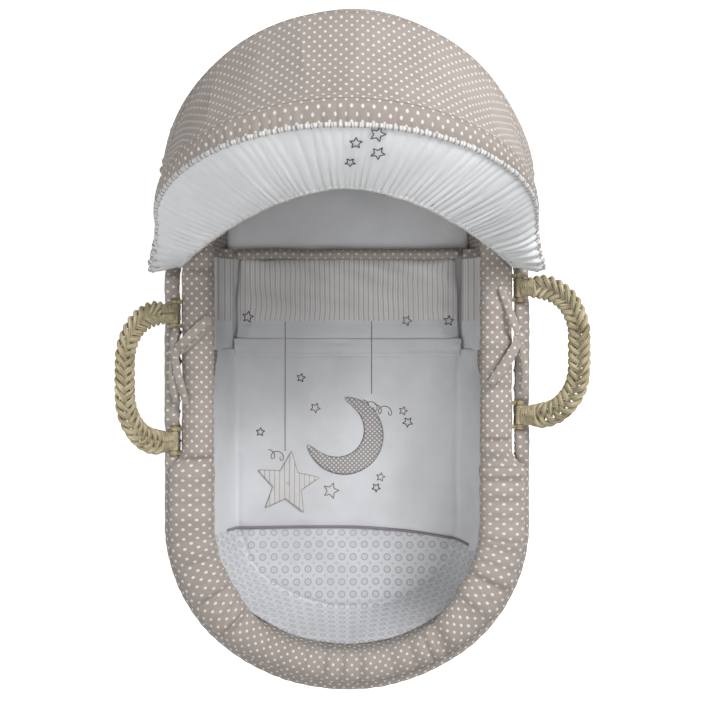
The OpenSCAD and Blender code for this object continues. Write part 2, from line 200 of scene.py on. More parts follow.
@dataclass(frozen=True)
class Oval:
    """Oval of straight sides, side arcs and end arcs, whose arcs meet at an angle of a 3-4-5 triangle.

    Attributes:
        w: half width.
        l: half length.
        straight: half length of the straight sides.
    """

    w: float
    l: float
    straight: float = STRAIGHT

    @property
    def gap(self) -> float:
        """Distance between the centres of the side arc and the end arc."""
        return (self.l - self.straight - self.w) / 0.4

    @property
    def side_r(self) -> float:
        """Radius of the side arcs."""
        return self.w + 0.6 * self.gap

    @property
    def end_r(self) -> float:
        """Radius of the end arcs."""
        return self.side_r - self.gap

    @property
    def length(self) -> float:
        """Length once round."""
        turn = math.atan2(4, 3)
        return 4 * (self.straight + self.side_r * turn + self.end_r * (math.pi / 2 - turn))

    def at(self, s: Array) -> tuple[Array, Array]:
        """Points and outward normals at distances s round the oval, clockwise from the head end's middle.

        The distance is folded into one quarter, where the end arc, the side arc and the straight follow
        each other, and the quarter's signs are put back.

        Args:
            s: distances in metres, of any shape.
        Returns:
            Points and normals, each of the shape of s with two numbers at the end.
        """
        quarter = self.length / 4
        s = np.mod(np.asarray(s, float), self.length)
        k = np.floor(s / quarter).astype(int) % 4
        r = np.where(k % 2 == 0, s - k * quarter, (k + 1) * quarter - s)
        turn = math.atan2(4, 3)
        first = self.end_r * (math.pi / 2 - turn)
        second = first + self.side_r * turn
        phi = np.where(r < first, r / self.end_r, (math.pi / 2 - turn) + (r - first) / self.side_r)
        phi = np.minimum(phi, math.pi / 2)
        n = np.stack([np.sin(phi), np.cos(phi)], -1)
        end = n * self.end_r + np.array([0, self.l - self.end_r])
        side = n * self.side_r + np.array([self.w - self.side_r, self.straight])
        line = np.stack([np.full_like(r, self.w), self.straight - (r - second)], -1)
        p = np.where((r < first)[..., None], end, np.where((r < second)[..., None], side, line))
        sign = np.stack([np.where(k < 2, 1.0, -1.0), np.where((k == 0) | (k == 3), 1.0, -1.0)], -1)
        return p * sign, n * sign

    def depth(self, x: Array, y: Array) -> Array:
        """How far points lie inside the oval, measured to the arc or straight that they face."""
        x, y = np.abs(x), np.abs(y)
        turn = math.atan2(4, 3)
        end = self.end_r - np.hypot(x, y - (self.l - self.end_r))
        side = self.side_r - np.hypot(x - (self.w - self.side_r), y - self.straight)
        faces_end = np.arctan2(y - (self.l - self.end_r), x) >= turn
        return np.where(faces_end, end, np.where(y > self.straight, side, self.w - x))


RIM = Oval(RIM_HALF_W, RIM_HALF_L)


def along_oval(n: int) -> tuple[Array, Array]:
    """Even stations once round the rim, the last one on the first.

    Args:
        n: number of steps.
    Returns:
        Distances in metres and shares of the way round, each of shape (n + 1, 1).
    """
    turns = np.linspace(0, 1, n + 1)[:, None]
    return turns * RIM.length, turns


def swept(s: Array, d: Array, z: Array) -> Array:
    """Points at outward offsets d and heights z over the stations s of the rim's oval."""
    p, n = RIM.at(s)
    d, z, _ = np.broadcast_arrays(d, z, s)
    return np.concatenate([p + n * d[..., None], z[..., None]], -1)


def rim_y(s: Array) -> Array:
    """Distance along the basket, towards the head, of the stations s of the rim."""
    return RIM.at(s)[0][..., 1]


@dataclass(frozen=True)
class Arch:
    """Line of a hoop of the hood: two legs, two shoulders and a crown, standing at an angle on the pivot.

    Attributes:
        w: half width between the legs.
        r: crown height from the pivot.
        angle: angle above level, in degrees.
        start: height up the legs at which the line begins.
        share: radius of the shoulders, as a share of the crown height.
    """

    w: float
    r: float
    angle: float
    start: float = 42 * MM
    share: float = 0.63

    def flat(self, t: Array) -> Array:
        """Points (across, up the hoop) at shares t of the way from the left foot to the right one.

        The half line is a leg, a shoulder arc of asin(3/5) and half the crown's arc, by length.
        """
        t = np.asarray(t, float)
        turn, shoulder = math.atan2(3, 4), self.share * self.r
        crown = shoulder + (self.w - shoulder) / 0.8
        leg = self.r - crown + (crown - shoulder) * 0.6
        parts = np.array([leg - self.start, shoulder * turn, crown * (math.pi / 2 - turn)])
        way = (1 - np.abs(2 * t - 1)) * parts.sum()
        a = np.clip((way - parts[0]) / shoulder, 0, turn)
        b = np.clip((way - parts[0] - parts[1]) / crown, 0, None) + turn
        on_leg = np.stack([np.full_like(way, self.w), self.start + way], -1)
        on_shoulder = np.stack([self.w - shoulder + shoulder * np.cos(a), leg + shoulder * np.sin(a)], -1)
        on_crown = np.stack([crown * np.cos(b), self.r - crown + crown * np.sin(b)], -1)
        p = np.where((way < parts[0])[..., None], on_leg,
                     np.where((way < parts[0] + parts[1])[..., None], on_shoulder, on_crown))
        return p * np.stack([np.sign(2 * t - 1) + (t == 0.5), np.ones_like(t)], -1)

    @property
    def length(self) -> float:
        """Length of the whole line."""
        p = self.flat(np.linspace(0, 1, 400))
        return float(np.linalg.norm(np.diff(p, axis=0), axis=1).sum())

    def at(self, t: Array, out: Array = 0.0) -> Array:
        """Points in the frame at shares t of the line, moved outwards in the hoop's plane by out."""
        p = self.flat(t)
        t = np.asarray(t)
        ahead = unit(self.flat(np.clip(t + 1e-3, 0, 1)) - self.flat(np.clip(t - 1e-3, 0, 1)))
        normal = np.stack([-ahead[..., 1], ahead[..., 0]], -1)
        p = p + normal * np.broadcast_to(out, p.shape[:-1])[..., None]
        return self.stand(p)

    def stand(self, p: Array) -> Array:
        """Flat points (across, up the hoop) stood up at the hoop's angle on the pivot."""
        a = math.radians(self.angle)
        y = PIVOT[0] + p[..., 1] * math.cos(a)
        z = PIVOT[1] + p[..., 1] * math.sin(a)
        return np.stack([p[..., 0], y, z], -1)


# ---------------------------------------------------------------- meshes

def quads(m: int, n: int, wrap_u: bool, wrap_v: bool, start: int = 0) -> Array:
    """Corner numbers of the faces of a grid of m + 1 by n + 1 points, which may close on its first line.

    Args:
        m: steps along u.
        n: steps along v.
        wrap_u: the row after the last is the first one.
        wrap_v: the same for the columns.
        start: number of the first point.
    Returns:
        Four point numbers for each face.
    """
    rows, cols = m + (not wrap_u), n + (not wrap_v)
    i, j = np.meshgrid(np.arange(m), np.arange(n), indexing="ij")

    def number(a: Array, b: Array) -> Array:
        """Number of the point in row a and column b."""
        return start + (a % rows) * cols + (b % cols)

    corners_of = [number(i, j), number(i + 1, j), number(i + 1, j + 1), number(i, j + 1)]
    return np.stack(corners_of, -1).reshape(-1, 4)


def corner_uv(uv: Array) -> Array:
    """Texture places of the four corners of each face of a grid, in the order of quads()."""
    return np.stack([uv[:-1, :-1], uv[1:, :-1], uv[1:, 1:], uv[:-1, 1:]], -2).reshape(-1, 2)


def new_mesh(name: str, points: Array, faces: Array, uv: Optional[Array] = None) -> bpy.types.Object:
    """Object at the origin from arrays, with doubles merged, normals outward and smooth shading.

    Args:
        name: name of the piece.
        points: places of the points in metres.
        faces: point numbers, four for each face.
        uv: texture places of the face corners, in metres of cloth.
    Returns:
        The new object.
    """
    mesh = bpy.data.meshes.new(name)
    mesh.from_pydata(points.reshape(-1, 3).tolist(), [], faces.tolist())
    if uv is not None:
        mesh.uv_layers.new(name="cloth").data.foreach_set("uv", uv.astype(np.float32).ravel())
    work = bmesh.new()
    work.from_mesh(mesh)
    bmesh.ops.remove_doubles(work, verts=work.verts, dist=2e-6)
    bmesh.ops.recalc_face_normals(work, faces=work.faces)
    work.to_mesh(mesh)
    work.free()
    mesh.polygons.foreach_set("use_smooth", np.ones(len(mesh.polygons), bool))
    obj = bpy.data.objects.new(name, mesh)
    bpy.context.scene.collection.objects.link(obj)
    return obj


def flat_uv(points: Array) -> Array:
    """Distances in metres along both directions of a grid, measured through its middle lines.

    Args:
        points: grid of shape (m + 1, n + 1, 3).
    Returns:
        Texture places of shape (m + 1, n + 1, 2).
    """
    along = np.linalg.norm(np.diff(points, axis=0), axis=-1).mean(1)
    across = np.linalg.norm(np.diff(points, axis=1), axis=-1).mean(0)
    u = np.concatenate([[0], np.cumsum(along)])
    v = np.concatenate([[0], np.cumsum(across)])
    return np.stack(np.meshgrid(u, v, indexing="ij"), -1)


def surface(name: str, points: Array, uv: Optional[Array] = None, wrap_u: bool = False,
            wrap_v: bool = False) -> bpy.types.Object:
    """One grid of points as a mesh; a wrapped direction leaves out its last line, which repeats the first."""
    m, n = points.shape[0] - 1, points.shape[1] - 1
    uv = flat_uv(points) if uv is None else uv
    kept = points[:m + (not wrap_u), :n + (not wrap_v)]
    return new_mesh(name, kept, quads(m, n, wrap_u, wrap_v), corner_uv(uv))


def grid_normals(points: Array, wrap_u: bool) -> Array:
    """Normals of a grid: the cross product of its differences along both directions."""
    du = np.gradient(points, axis=0)
    if wrap_u:
        du[0] = du[-1] = (points[1] - points[-2]) / 2
    return unit(np.cross(du, np.gradient(points, axis=1)))


def shell(name: str, points: Array, thick: float, uv: Optional[Array] = None,
          wrap_u: bool = False) -> bpy.types.Object:
    """Closed thin cloth: the grid, the grid moved along its normals by thick, and strips round the edges.

    Args:
        name: name of the piece.
        points: grid of the cloth's face, of shape (m + 1, n + 1, 3).
        thick: how far the back lies along the grid's normals; a negative value turns it to the other side.
        uv: texture places, or None for distances along the cloth.
        wrap_u: the last row is the first one.
    Returns:
        The new object.
    """
    m, n = points.shape[0] - 1, points.shape[1] - 1
    uv = flat_uv(points) if uv is None else uv
    back = points + grid_normals(points, wrap_u) * thick
    rows = m + (not wrap_u)
    k = rows * (n + 1)
    grids = [quads(m, n, wrap_u, False), quads(m, n, wrap_u, False, k)]
    corners = [corner_uv(uv), corner_uv(uv)]
    edge = np.stack([points, back], 0)
    number = np.arange(rows * (n + 1)).reshape(rows, n + 1)
    number = np.concatenate([number, number[:1]]) if wrap_u else number
    borders = [(number[:, 0], uv[:, 0]), (number[:, -1], uv[:, -1])]
    if not wrap_u:
        borders += [(number[0], uv[0]), (number[-1], uv[-1])]
    for line, place in borders:
        grids.append(np.stack([line[:-1], line[1:], line[1:] + k, line[:-1] + k], -1))
        corners.append(np.stack([place[:-1], place[1:], place[1:], place[:-1]], -2).reshape(-1, 2))
    both = np.concatenate([edge[0][:rows].reshape(-1, 3), edge[1][:rows].reshape(-1, 3)])
    return new_mesh(name, both, np.concatenate(grids), np.concatenate(corners))


def frames(path: Array, up: Array) -> tuple[Array, Array]:
    """Directions across a path: the side, square to the way and to up, and the lift, square to both."""
    way = unit(np.gradient(path, axis=0))
    side = unit(np.cross(way, np.broadcast_to(up, path.shape)))
    return side, unit(np.cross(side, way))


def band(name: str, path: Array, up: Array, profile: Array, taper: Optional[Array] = None,
         closed: bool = False) -> bpy.types.Object:
    """Solid of a closed profile carried along a path, with its ends drawn shut to a point.

    Args:
        name: name of the piece.
        path: points of the centre line, of shape (m, 3).
        up: lift direction, one or one for each point.
        profile: closed outline (side, lift) of shape (n, 2), or (m, n, 2) where it changes along the path.
        taper: scale of the outline at each point.
        closed: the path's last point is its first.
    Returns:
        The new object.
    """
    side, lift = frames(path, up)
    if closed:
        side[0] = side[-1]
        lift[0] = lift[-1]
    outline = np.broadcast_to(profile, (len(path),) + profile.shape[-2:])
    scale = np.ones(len(path)) if taper is None else np.asarray(taper, float)
    outline = np.concatenate([outline, outline[:, :1]], 1) * scale[:, None, None]
    points = path[:, None] + side[:, None] * outline[..., :1] + lift[:, None] * outline[..., 1:]
    if not closed:
        points = np.concatenate([np.broadcast_to(path[0], points[:1].shape), points,
                                 np.broadcast_to(path[-1], points[:1].shape)])
    return surface(name, points, wrap_u=closed, wrap_v=True)


def ring(radius: float, n: int = 8, flat: float = 1.0) -> Array:
    """Round or flattened outline of n points."""
    a = np.linspace(0, math.tau, n, endpoint=False)
    return np.stack([np.cos(a) * radius, np.sin(a) * radius * flat], -1)


def smooth_path(knots: Sequence[Sequence[float]], n: int) -> Array:
    """Curve of n points through chosen knots: cubic Catmull-Rom pieces between neighbours.

    Args:
        knots: the places it passes, in metres.
        n: number of points.
    Returns:
        Points of shape (n, 3).
    """
    p = np.asarray(knots, float)
    p = np.concatenate([2 * p[:1] - p[1:2], p, 2 * p[-1:] - p[-2:-1]])
    t = np.linspace(0, len(p) - 3 - 1e-9, n)
    i = t.astype(int)
    f = (t - i)[:, None]
    a, b, c, d = p[i], p[i + 1], p[i + 2], p[i + 3]
    bend = 2 * a - 5 * b + 4 * c - d
    twist = 3 * b - a - 3 * c + d
    return 0.5 * (2 * b + (c - a) * f + bend * f ** 2 + twist * f ** 3)


def joined(name: str, objects: Sequence[bpy.types.Object]) -> bpy.types.Object:
    """Several meshes as one piece, with their materials side by side."""
    work = bmesh.new()
    mesh = bpy.data.meshes.new(name)
    for obj in objects:
        for poly_material in obj.data.materials:
            if poly_material.name not in mesh.materials:
                mesh.materials.append(poly_material)
        number = [mesh.materials.find(m.name) for m in obj.data.materials]
        if number:
            old = np.zeros(len(obj.data.polygons), np.int32)
            obj.data.polygons.foreach_get("material_index", old)
            obj.data.polygons.foreach_set("material_index", np.asarray(number, np.int32)[old])
        work.from_mesh(obj.data)
    work.to_mesh(mesh)
    work.free()
    for obj in objects:
        bpy.data.objects.remove(obj)
    new = bpy.data.objects.new(name, mesh)
    bpy.context.scene.collection.objects.link(new)
    return new


def plump(obj: bpy.types.Object, voxel: float, pressure: float, cap: float) -> None:
    """Fills a pad by cloth simulation: it is remeshed, blown up under pressure for 20 frames and capped.

    Args:
        obj: closed mesh, a little smaller than the pad; its shape is changed in place.
        voxel: size of the new faces in metres, or 0 to keep the mesh's own even faces.
        pressure: pressure of the filling.
        cap: furthest that a point may move, in metres.
    """
    scene = bpy.context.scene
    if voxel:
        remesh = obj.modifiers.new("even faces", "REMESH")
        remesh.mode, remesh.voxel_size = "VOXEL", voxel
        settle(obj)
    start = positions(obj)
    cloth = obj.modifiers.new("filling", "CLOTH")
    cloth.settings.use_pressure = True
    cloth.settings.uniform_pressure_force = pressure
    cloth.settings.effector_weights.gravity = 0
    cloth.settings.quality = 4
    cloth.point_cache.frame_start, cloth.point_cache.frame_end = 1, 20
    for number in range(1, 21):
        scene.frame_set(number)
    end = positions(obj.evaluated_get(bpy.context.evaluated_depsgraph_get()))
    obj.modifiers.clear()
    scene.frame_set(1)
    move = end - start
    far = np.linalg.norm(move, axis=1, keepdims=True)
    put_positions(obj, start + move * np.minimum(1.0, cap / np.maximum(far, 1e-9)))
    finer = obj.modifiers.new("finer faces", "SUBSURF")
    finer.levels = finer.render_levels = 1
    settle(obj)


def settle(obj: bpy.types.Object) -> None:
    """Applies the modifiers of a piece to its mesh and shades it smooth."""
    bpy.context.view_layer.update()
    made = bpy.data.meshes.new_from_object(obj.evaluated_get(bpy.context.evaluated_depsgraph_get()))
    old, name = obj.data, obj.data.name
    obj.modifiers.clear()
    obj.data = made
    bpy.data.meshes.remove(old)
    made.name = name
    made.polygons.foreach_set("use_smooth", np.ones(len(made.polygons), bool))


def positions(obj: bpy.types.Object) -> Array:
    """Places of a mesh's points, of shape (k, 3)."""
    co = np.zeros(len(obj.data.vertices) * 3, np.float32)
    obj.data.vertices.foreach_get("co", co)
    return co.reshape(-1, 3).astype(float)


def put_positions(obj: bpy.types.Object, places: Array) -> None:
    """Moves a mesh's points to new places."""
    obj.data.vertices.foreach_set("co", places.astype(np.float32).ravel())
    obj.data.update()


def map_from_above(obj: bpy.types.Object) -> None:
    """Gives a piece a texture map of its x and y, in metres, carried outwards by the rise of its edges."""
    layer = obj.data.uv_layers.get("cloth") or obj.data.uv_layers.new(name="cloth")
    corner = np.zeros(len(obj.data.loops), np.int32)
    obj.data.loops.foreach_get("vertex_index", corner)
    places = positions(obj)
    rise = np.clip(places[:, 2] - COVER_TOP, 0, None) / np.maximum(np.hypot(places[:, 0], places[:, 1]), 0.05)
    places = places[:, :2] * (1 + rise[:, None])
    layer.data.foreach_set("uv", places[corner].astype(np.float32).ravel())


# ---------------------------------------------------------------- finishes

def srgb(red: int, green: int, blue: int) -> tuple[float, float, float, float]:
    """A colour of 0 to 255 in each channel, as Blender's linear colour."""
    values = np.array([red, green, blue]) / 255.0
    linear = np.where(values <= 0.04045, values / 12.92, ((values + 0.055) / 1.055) ** 2.4)
    return (*linear.tolist(), 1.0)


class Print(Enum):
    """Printed patterns of the cloths."""

    PLAIN = "plain"
    DOTS = "dots"
    RINGS = "rings"
    STRIPES = "stripes"


class Graph:
    """Short way to write a node tree: each method adds a node and gives back its output socket."""

    def __init__(self, tree: bpy.types.NodeTree) -> None:
        """Starts on a node tree."""
        self.tree = tree

    def node(self, kind: str, **options: object) -> bpy.types.Node:
        """Adds a node of a type and sets its options."""
        new = self.tree.nodes.new(kind)
        for key, value in options.items():
            setattr(new, key, value)
        return new

    def feed(self, socket: bpy.types.NodeSocket, value: object) -> None:
        """Links an output to a socket, or sets the socket's own value."""
        if isinstance(value, bpy.types.NodeSocket):
            self.tree.links.new(value, socket)
        elif value is not None:
            socket.default_value = value

    def math(self, operation: str, a: object, b: object = None, c: object = None) -> bpy.types.NodeSocket:
        """Math node."""
        node = self.node("ShaderNodeMath", operation=operation)
        for socket, value in zip(node.inputs, (a, b, c)):
            self.feed(socket, value)
        return node.outputs[0]

    def vector(self, operation: str, a: object, b: object = None) -> bpy.types.NodeSocket:
        """Vector math node; LENGTH gives its value."""
        node = self.node("ShaderNodeVectorMath", operation=operation)
        self.feed(node.inputs[0], a)
        self.feed(node.inputs[1], b)
        return node.outputs["Value" if operation in ("LENGTH", "DOT_PRODUCT") else "Vector"]

    def scaled(self, a: object, factor: object) -> bpy.types.NodeSocket:
        """A vector times a number."""
        node = self.node("ShaderNodeVectorMath", operation="SCALE")
        self.feed(node.inputs[0], a)
        self.feed(node.inputs["Scale"], factor)
        return node.outputs["Vector"]

    def mix(self, factor: object, a: object, b: object, blend: str = "MIX") -> bpy.types.NodeSocket:
        """Colour mix of a and b."""
        node = self.node("ShaderNodeMix", data_type="RGBA", blend_type=blend)
        self.feed(node.inputs["Factor"], factor)
        colours = [s for s in node.inputs if s.type == "RGBA"]
        self.feed(colours[0], a)
        self.feed(colours[1], b)
        return [s for s in node.outputs if s.type == "RGBA"][0]

    def step(self, value: object, low: object, high: object, to_low: float = 0.0,
             to_high: float = 1.0) -> bpy.types.NodeSocket:
        """Smooth step from to_low at low to to_high at high."""
        node = self.node("ShaderNodeMapRange", interpolation_type="SMOOTHSTEP")
        for socket, entry in zip(node.inputs, (value, low, high, to_low, to_high)):
            self.feed(socket, entry)
        return node.outputs[0]

    def noise(self, vector: object, scale: object, detail: float = 3.0,
              roughness: float = 0.55) -> bpy.types.NodeSocket:
        """Noise of a scale, about 0.5 in the mean."""
        node = self.node("ShaderNodeTexNoise")
        self.feed(node.inputs["Vector"], vector)
        self.feed(node.inputs["Scale"], scale)
        node.inputs["Detail"].default_value = detail
        node.inputs["Roughness"].default_value = roughness
        return node.outputs["Fac"]

    def parts(self, vector: object) -> list[bpy.types.NodeSocket]:
        """The three numbers of a vector."""
        node = self.node("ShaderNodeSeparateXYZ")
        self.feed(node.inputs[0], vector)
        return list(node.outputs)

    def group(self, tree: bpy.types.NodeTree, **inputs: object) -> bpy.types.NodeSocket:
        """Places a node group, with spaces in its socket names written as underscores."""
        node = self.node("ShaderNodeGroup", node_tree=tree)
        for key, value in inputs.items():
            self.feed(node.inputs[key.replace("_", " ")], value)
        return node.outputs[0]


def effect(name: str, inputs: dict[str, tuple[str, float]], output: str,
           build: Callable[[Graph, dict], bpy.types.NodeSocket]) -> bpy.types.NodeTree:
    """A node group with named inputs and one output, built once and found again by its name.

    Args:
        name: name of the group.
        inputs: socket type and starting value by name.
        output: name of the output.
        build: makes the inside from the group's inputs and gives back what goes out.
    Returns:
        The node group.
    """
    found = bpy.data.node_groups.get(name)
    if found:
        return found
    tree = bpy.data.node_groups.new(name, "ShaderNodeTree")
    for key, (kind, start) in inputs.items():
        socket = tree.interface.new_socket(key, in_out="INPUT", socket_type=kind)
        if kind == "NodeSocketFloat":
            socket.default_value = start
    tree.interface.new_socket(output, in_out="OUTPUT", socket_type="NodeSocketFloat")
    graph = Graph(tree)
    entry = graph.node("NodeGroupInput")
    leave = graph.node("NodeGroupOutput")
    graph.feed(leave.inputs[0], build(graph, {s.name: s for s in entry.outputs if s.name}))
    return tree


VECTOR, NUMBER = "NodeSocketVector", "NodeSocketFloat"


def spots_effect() -> bpy.types.NodeTree:
    """Mask of round spots on a square lattice with one more spot in the middle of each square."""

    def build(g: Graph, i: dict) -> bpy.types.NodeSocket:
        """The nearer of two lattices of centres, half a square apart, compared with the radius."""
        base = g.vector("MULTIPLY", g.vector("DIVIDE", i["Place"], i["Pitch"]), (1, 1, 0))
        far = []
        for shift in (0.0, 0.5):
            cell = g.vector("FRACTION", g.vector("ADD", base, (shift, shift, 0)))
            off = g.vector("SUBTRACT", cell, (0.5, 0.5, 0))
            far.append(g.vector("LENGTH", g.vector("MULTIPLY", off, (1, 1, 0))))
        near = g.math("MINIMUM", *far)
        inner = g.math("MULTIPLY", i["Radius"], 0.82)
        outer = g.math("MULTIPLY", i["Radius"], 1.16)
        return g.step(near, inner, outer, 1.0, 0.0)

    inputs = {"Place": (VECTOR, 0), "Pitch": (VECTOR, 0), "Radius": (NUMBER, 0.16)}
    return effect("printed spots", inputs, "Mask", build)


def rings_effect() -> bpy.types.NodeTree:
    """Mask of small rings on a lattice, each with a dot inside, and a fainter dot between four rings."""

    def build(g: Graph, i: dict) -> bpy.types.NodeSocket:
        """Bands of the distance from the nearest centre, in metres."""
        base = g.vector("DIVIDE", i["Place"], i["Pitch"])
        masks = []
        for shift in (0.0, 0.5):
            cell = g.vector("FRACTION", g.vector("ADD", base, (shift, shift, 0)))
            off = g.vector("MULTIPLY", g.vector("SUBTRACT", cell, (0.5, 0.5, 0)), i["Pitch"])
            off = g.vector("MULTIPLY", off, (1, 1, 0))
            masks.append(g.vector("LENGTH", off))
        band_of = g.math("ABSOLUTE", g.math("SUBTRACT", masks[0], 0.0039))
        ring_mask = g.step(band_of, 0.0007, 0.0014, 1.0, 0.0)
        dot = g.step(masks[0], 0.0008, 0.0015, 0.8, 0.0)
        faint = g.step(masks[1], 0.0014, 0.0028, 0.5, 0.0)
        return g.math("MAXIMUM", g.math("MAXIMUM", ring_mask, dot), faint)

    return effect("printed rings", {"Place": (VECTOR, 0), "Pitch": (VECTOR, 0)}, "Mask", build)


def stripes_effect() -> bpy.types.NodeTree:
    """Mask of woven stripes across x, with a strong line and a thin one in each repeat."""

    def build(g: Graph, i: dict) -> bpy.types.NodeSocket:
        """Distance from the middle of the repeat and from a quarter of it, stepped."""
        turn = g.math("FRACT", g.math("DIVIDE", g.parts(i["Place"])[0], i["Pitch"]))
        strong = g.step(g.math("ABSOLUTE", g.math("SUBTRACT", turn, 0.32)), 0.10, 0.19, 1.0, 0.0)
        thin = g.step(g.math("ABSOLUTE", g.math("SUBTRACT", turn, 0.80)), 0.03, 0.11, 0.55, 0.0)
        return g.math("MAXIMUM", strong, thin)

    return effect("woven stripes", {"Place": (VECTOR, 0), "Pitch": (NUMBER, 0.0066)}, "Mask", build)


def cloth_effect() -> bpy.types.NodeTree:
    """Height of plain-woven cotton with soft creases: crossing threads and two sizes of noise."""

    def build(g: Graph, i: dict) -> bpy.types.NodeSocket:
        """Product of two sine waves of the thread pitch, with noise of the crease size added."""
        x, y, _ = g.parts(i["Place"])
        wave_x = g.math("SINE", g.math("MULTIPLY", x, math.tau / 0.0011))
        wave_y = g.math("SINE", g.math("MULTIPLY", y, math.tau / 0.0011))
        threads = g.math("MULTIPLY", g.math("MULTIPLY", wave_x, wave_y), 0.06)
        creases = g.noise(i["Place"], i["Crease Scale"], 3.0, 0.5)
        lint = g.noise(i["Place"], 260.0, 2.0, 0.6)
        soft = g.math("ADD", g.math("MULTIPLY", creases, i["Creases"]), g.math("MULTIPLY", lint, 0.12))
        return g.math("ADD", threads, soft)

    inputs = {"Place": (VECTOR, 0), "Creases": (NUMBER, 1.0), "Crease Scale": (NUMBER, 26.0)}
    return effect("cotton cloth", inputs, "Height", build)


def fibre_effect() -> bpy.types.NodeTree:
    """Streaks along one direction, as of split palm leaf or grain: noise stretched along x."""

    def build(g: Graph, i: dict) -> bpy.types.NodeSocket:
        """Noise of a place squeezed across the fibres."""
        return g.noise(g.vector("MULTIPLY", i["Place"], i["Stretch"]), 1.0, 4.0, 0.6)

    return effect("fibre streaks", {"Place": (VECTOR, 0), "Stretch": (VECTOR, 0)}, "Value", build)


def mottle_effect() -> bpy.types.NodeTree:
    """Slow uneven shade of a dyed, moulded or bleached surface."""

    def build(g: Graph, i: dict) -> bpy.types.NodeSocket:
        """Noise of the given scale, stepped softly."""
        return g.step(g.noise(i["Place"], i["Scale"], 4.0, 0.6), 0.3, 0.7)

    return effect("mottle", {"Place": (VECTOR, 0), "Scale": (NUMBER, 12.0)}, "Value", build)


def new_material(name: str) -> tuple[bpy.types.Material, Graph, bpy.types.Node]:
    """An empty material with its graph and its Principled shader."""
    made = bpy.data.materials.new(name)
    made.use_nodes = True
    return made, Graph(made.node_tree), made.node_tree.nodes["Principled BSDF"]


@dataclass(frozen=True)
class Finish:
    """Named finish, whose material is built once and found again after that.

    Attributes:
        name: name of the material.
    """

    name: str

    def material(self) -> bpy.types.Material:
        """Builds the material, or finds it again."""
        found = bpy.data.materials.get(self.name)
        if found:
            return found
        made, g, shader = new_material(self.name)
        strength, distance, height = self.paint(g, shader)
        bump = g.node("ShaderNodeBump")
        bump.inputs["Strength"].default_value = strength
        bump.inputs["Distance"].default_value = distance
        g.feed(bump.inputs["Height"], height)
        g.feed(shader.inputs["Normal"], bump.outputs["Normal"])
        return made

    def paint(self, g: Graph, shader: bpy.types.Node) -> tuple[float, float, bpy.types.NodeSocket]:
        """Feeds the shader's colour and roughness; returns the bump's strength, distance and height."""
        raise NotImplementedError


@dataclass(frozen=True)
class Cotton(Finish):
    """Cotton cloth, plain or printed.

    Attributes:
        base: colour of the cloth.
        ink: colour of the print.
        pattern: printed pattern.
        pitch: repeat of the pattern in metres.
        spot: radius of a spot as a share of the pitch.
        creases: height of the soft creases, 1 for a lightly crumpled cloth.
        by_map: the pattern follows the piece's own texture map, not its place.
    """

    base: tuple[int, int, int]
    ink: tuple[int, int, int] = (226, 222, 216)
    pattern: Print = Print.PLAIN
    pitch: tuple[float, float] = (0.012, 0.012)
    spot: float = 0.135
    creases: float = 1.0
    by_map: bool = True

    def paint(self, g: Graph, shader: bpy.types.Node) -> tuple[float, float, bpy.types.NodeSocket]:
        """Feeds colour and roughness; returns the bump's strength, distance and height."""
        coords = g.node("ShaderNodeTexCoord")
        place = coords.outputs["UV" if self.by_map else "Object"]
        shade = g.group(mottle_effect(), Place=coords.outputs["Object"], Scale=9.0)
        lint = g.noise(place, 420.0, 2.0)
        dark = tuple(int(v * 0.94) for v in self.base)
        colour = g.mix(shade, srgb(*dark), srgb(*self.base))
        if self.pattern is not Print.PLAIN:
            colour = g.mix(self.mask(g, place), colour, srgb(*self.ink))
        colour = g.mix(g.math("MULTIPLY", lint, 0.16), colour, srgb(*(int(v * 0.78) for v in self.base)))
        g.feed(shader.inputs["Base Color"], colour)
        g.feed(shader.inputs["Roughness"], g.step(lint, 0.2, 0.8, 0.78, 0.95))
        shader.inputs["Sheen Weight"].default_value = 0.12
        shader.inputs["Specular IOR Level"].default_value = 0.2
        return 0.55, 0.0035, g.group(cloth_effect(), Place=place, Creases=self.creases, Crease_Scale=24.0)

    def mask(self, g: Graph, place: bpy.types.NodeSocket) -> bpy.types.NodeSocket:
        """Mask of the printed pattern at a place."""
        pitch = (*self.pitch, 1.0)
        if self.pattern is Print.DOTS:
            return g.group(spots_effect(), Place=place, Pitch=pitch, Radius=self.spot)
        if self.pattern is Print.RINGS:
            return g.group(rings_effect(), Place=place, Pitch=pitch)
        return g.group(stripes_effect(), Place=place, Pitch=self.pitch[0])


@dataclass(frozen=True)
class Fibre(Finish):
    """Palm leaf, wicker or wood: streaks along the strand over a slow change of shade.

    Attributes:
        light: colour of the pale fibres.
        dark: colour of the dark fibres and hollows.
        stretch: how often the streaks repeat along and across, per metre.
        by_map: streaks follow the piece's own texture map.
        rough: roughness.
    """

    light: tuple[int, int, int]
    dark: tuple[int, int, int]
    stretch: tuple[float, float, float] = (30.0, 700.0, 700.0)
    by_map: bool = True
    rough: float = 0.72

    def paint(self, g: Graph, shader: bpy.types.Node) -> tuple[float, float, bpy.types.NodeSocket]:
        """Feeds colour and roughness; returns the bump's strength, distance and height."""
        coords = g.node("ShaderNodeTexCoord")
        place = coords.outputs["UV" if self.by_map else "Object"]
        streak = g.group(fibre_effect(), Place=place, Stretch=self.stretch)
        shade = g.group(mottle_effect(), Place=coords.outputs["Object"], Scale=60.0)
        strong = g.math("MULTIPLY", g.step(streak, 0.32, 0.66), 0.68)
        tone = g.math("ADD", strong, g.math("MULTIPLY", shade, 0.32))
        g.feed(shader.inputs["Base Color"], g.mix(tone, srgb(*self.dark), srgb(*self.light)))
        g.feed(shader.inputs["Roughness"], g.step(streak, 0.3, 0.7, self.rough + 0.12, self.rough - 0.08))
        return 0.6, 0.001, streak


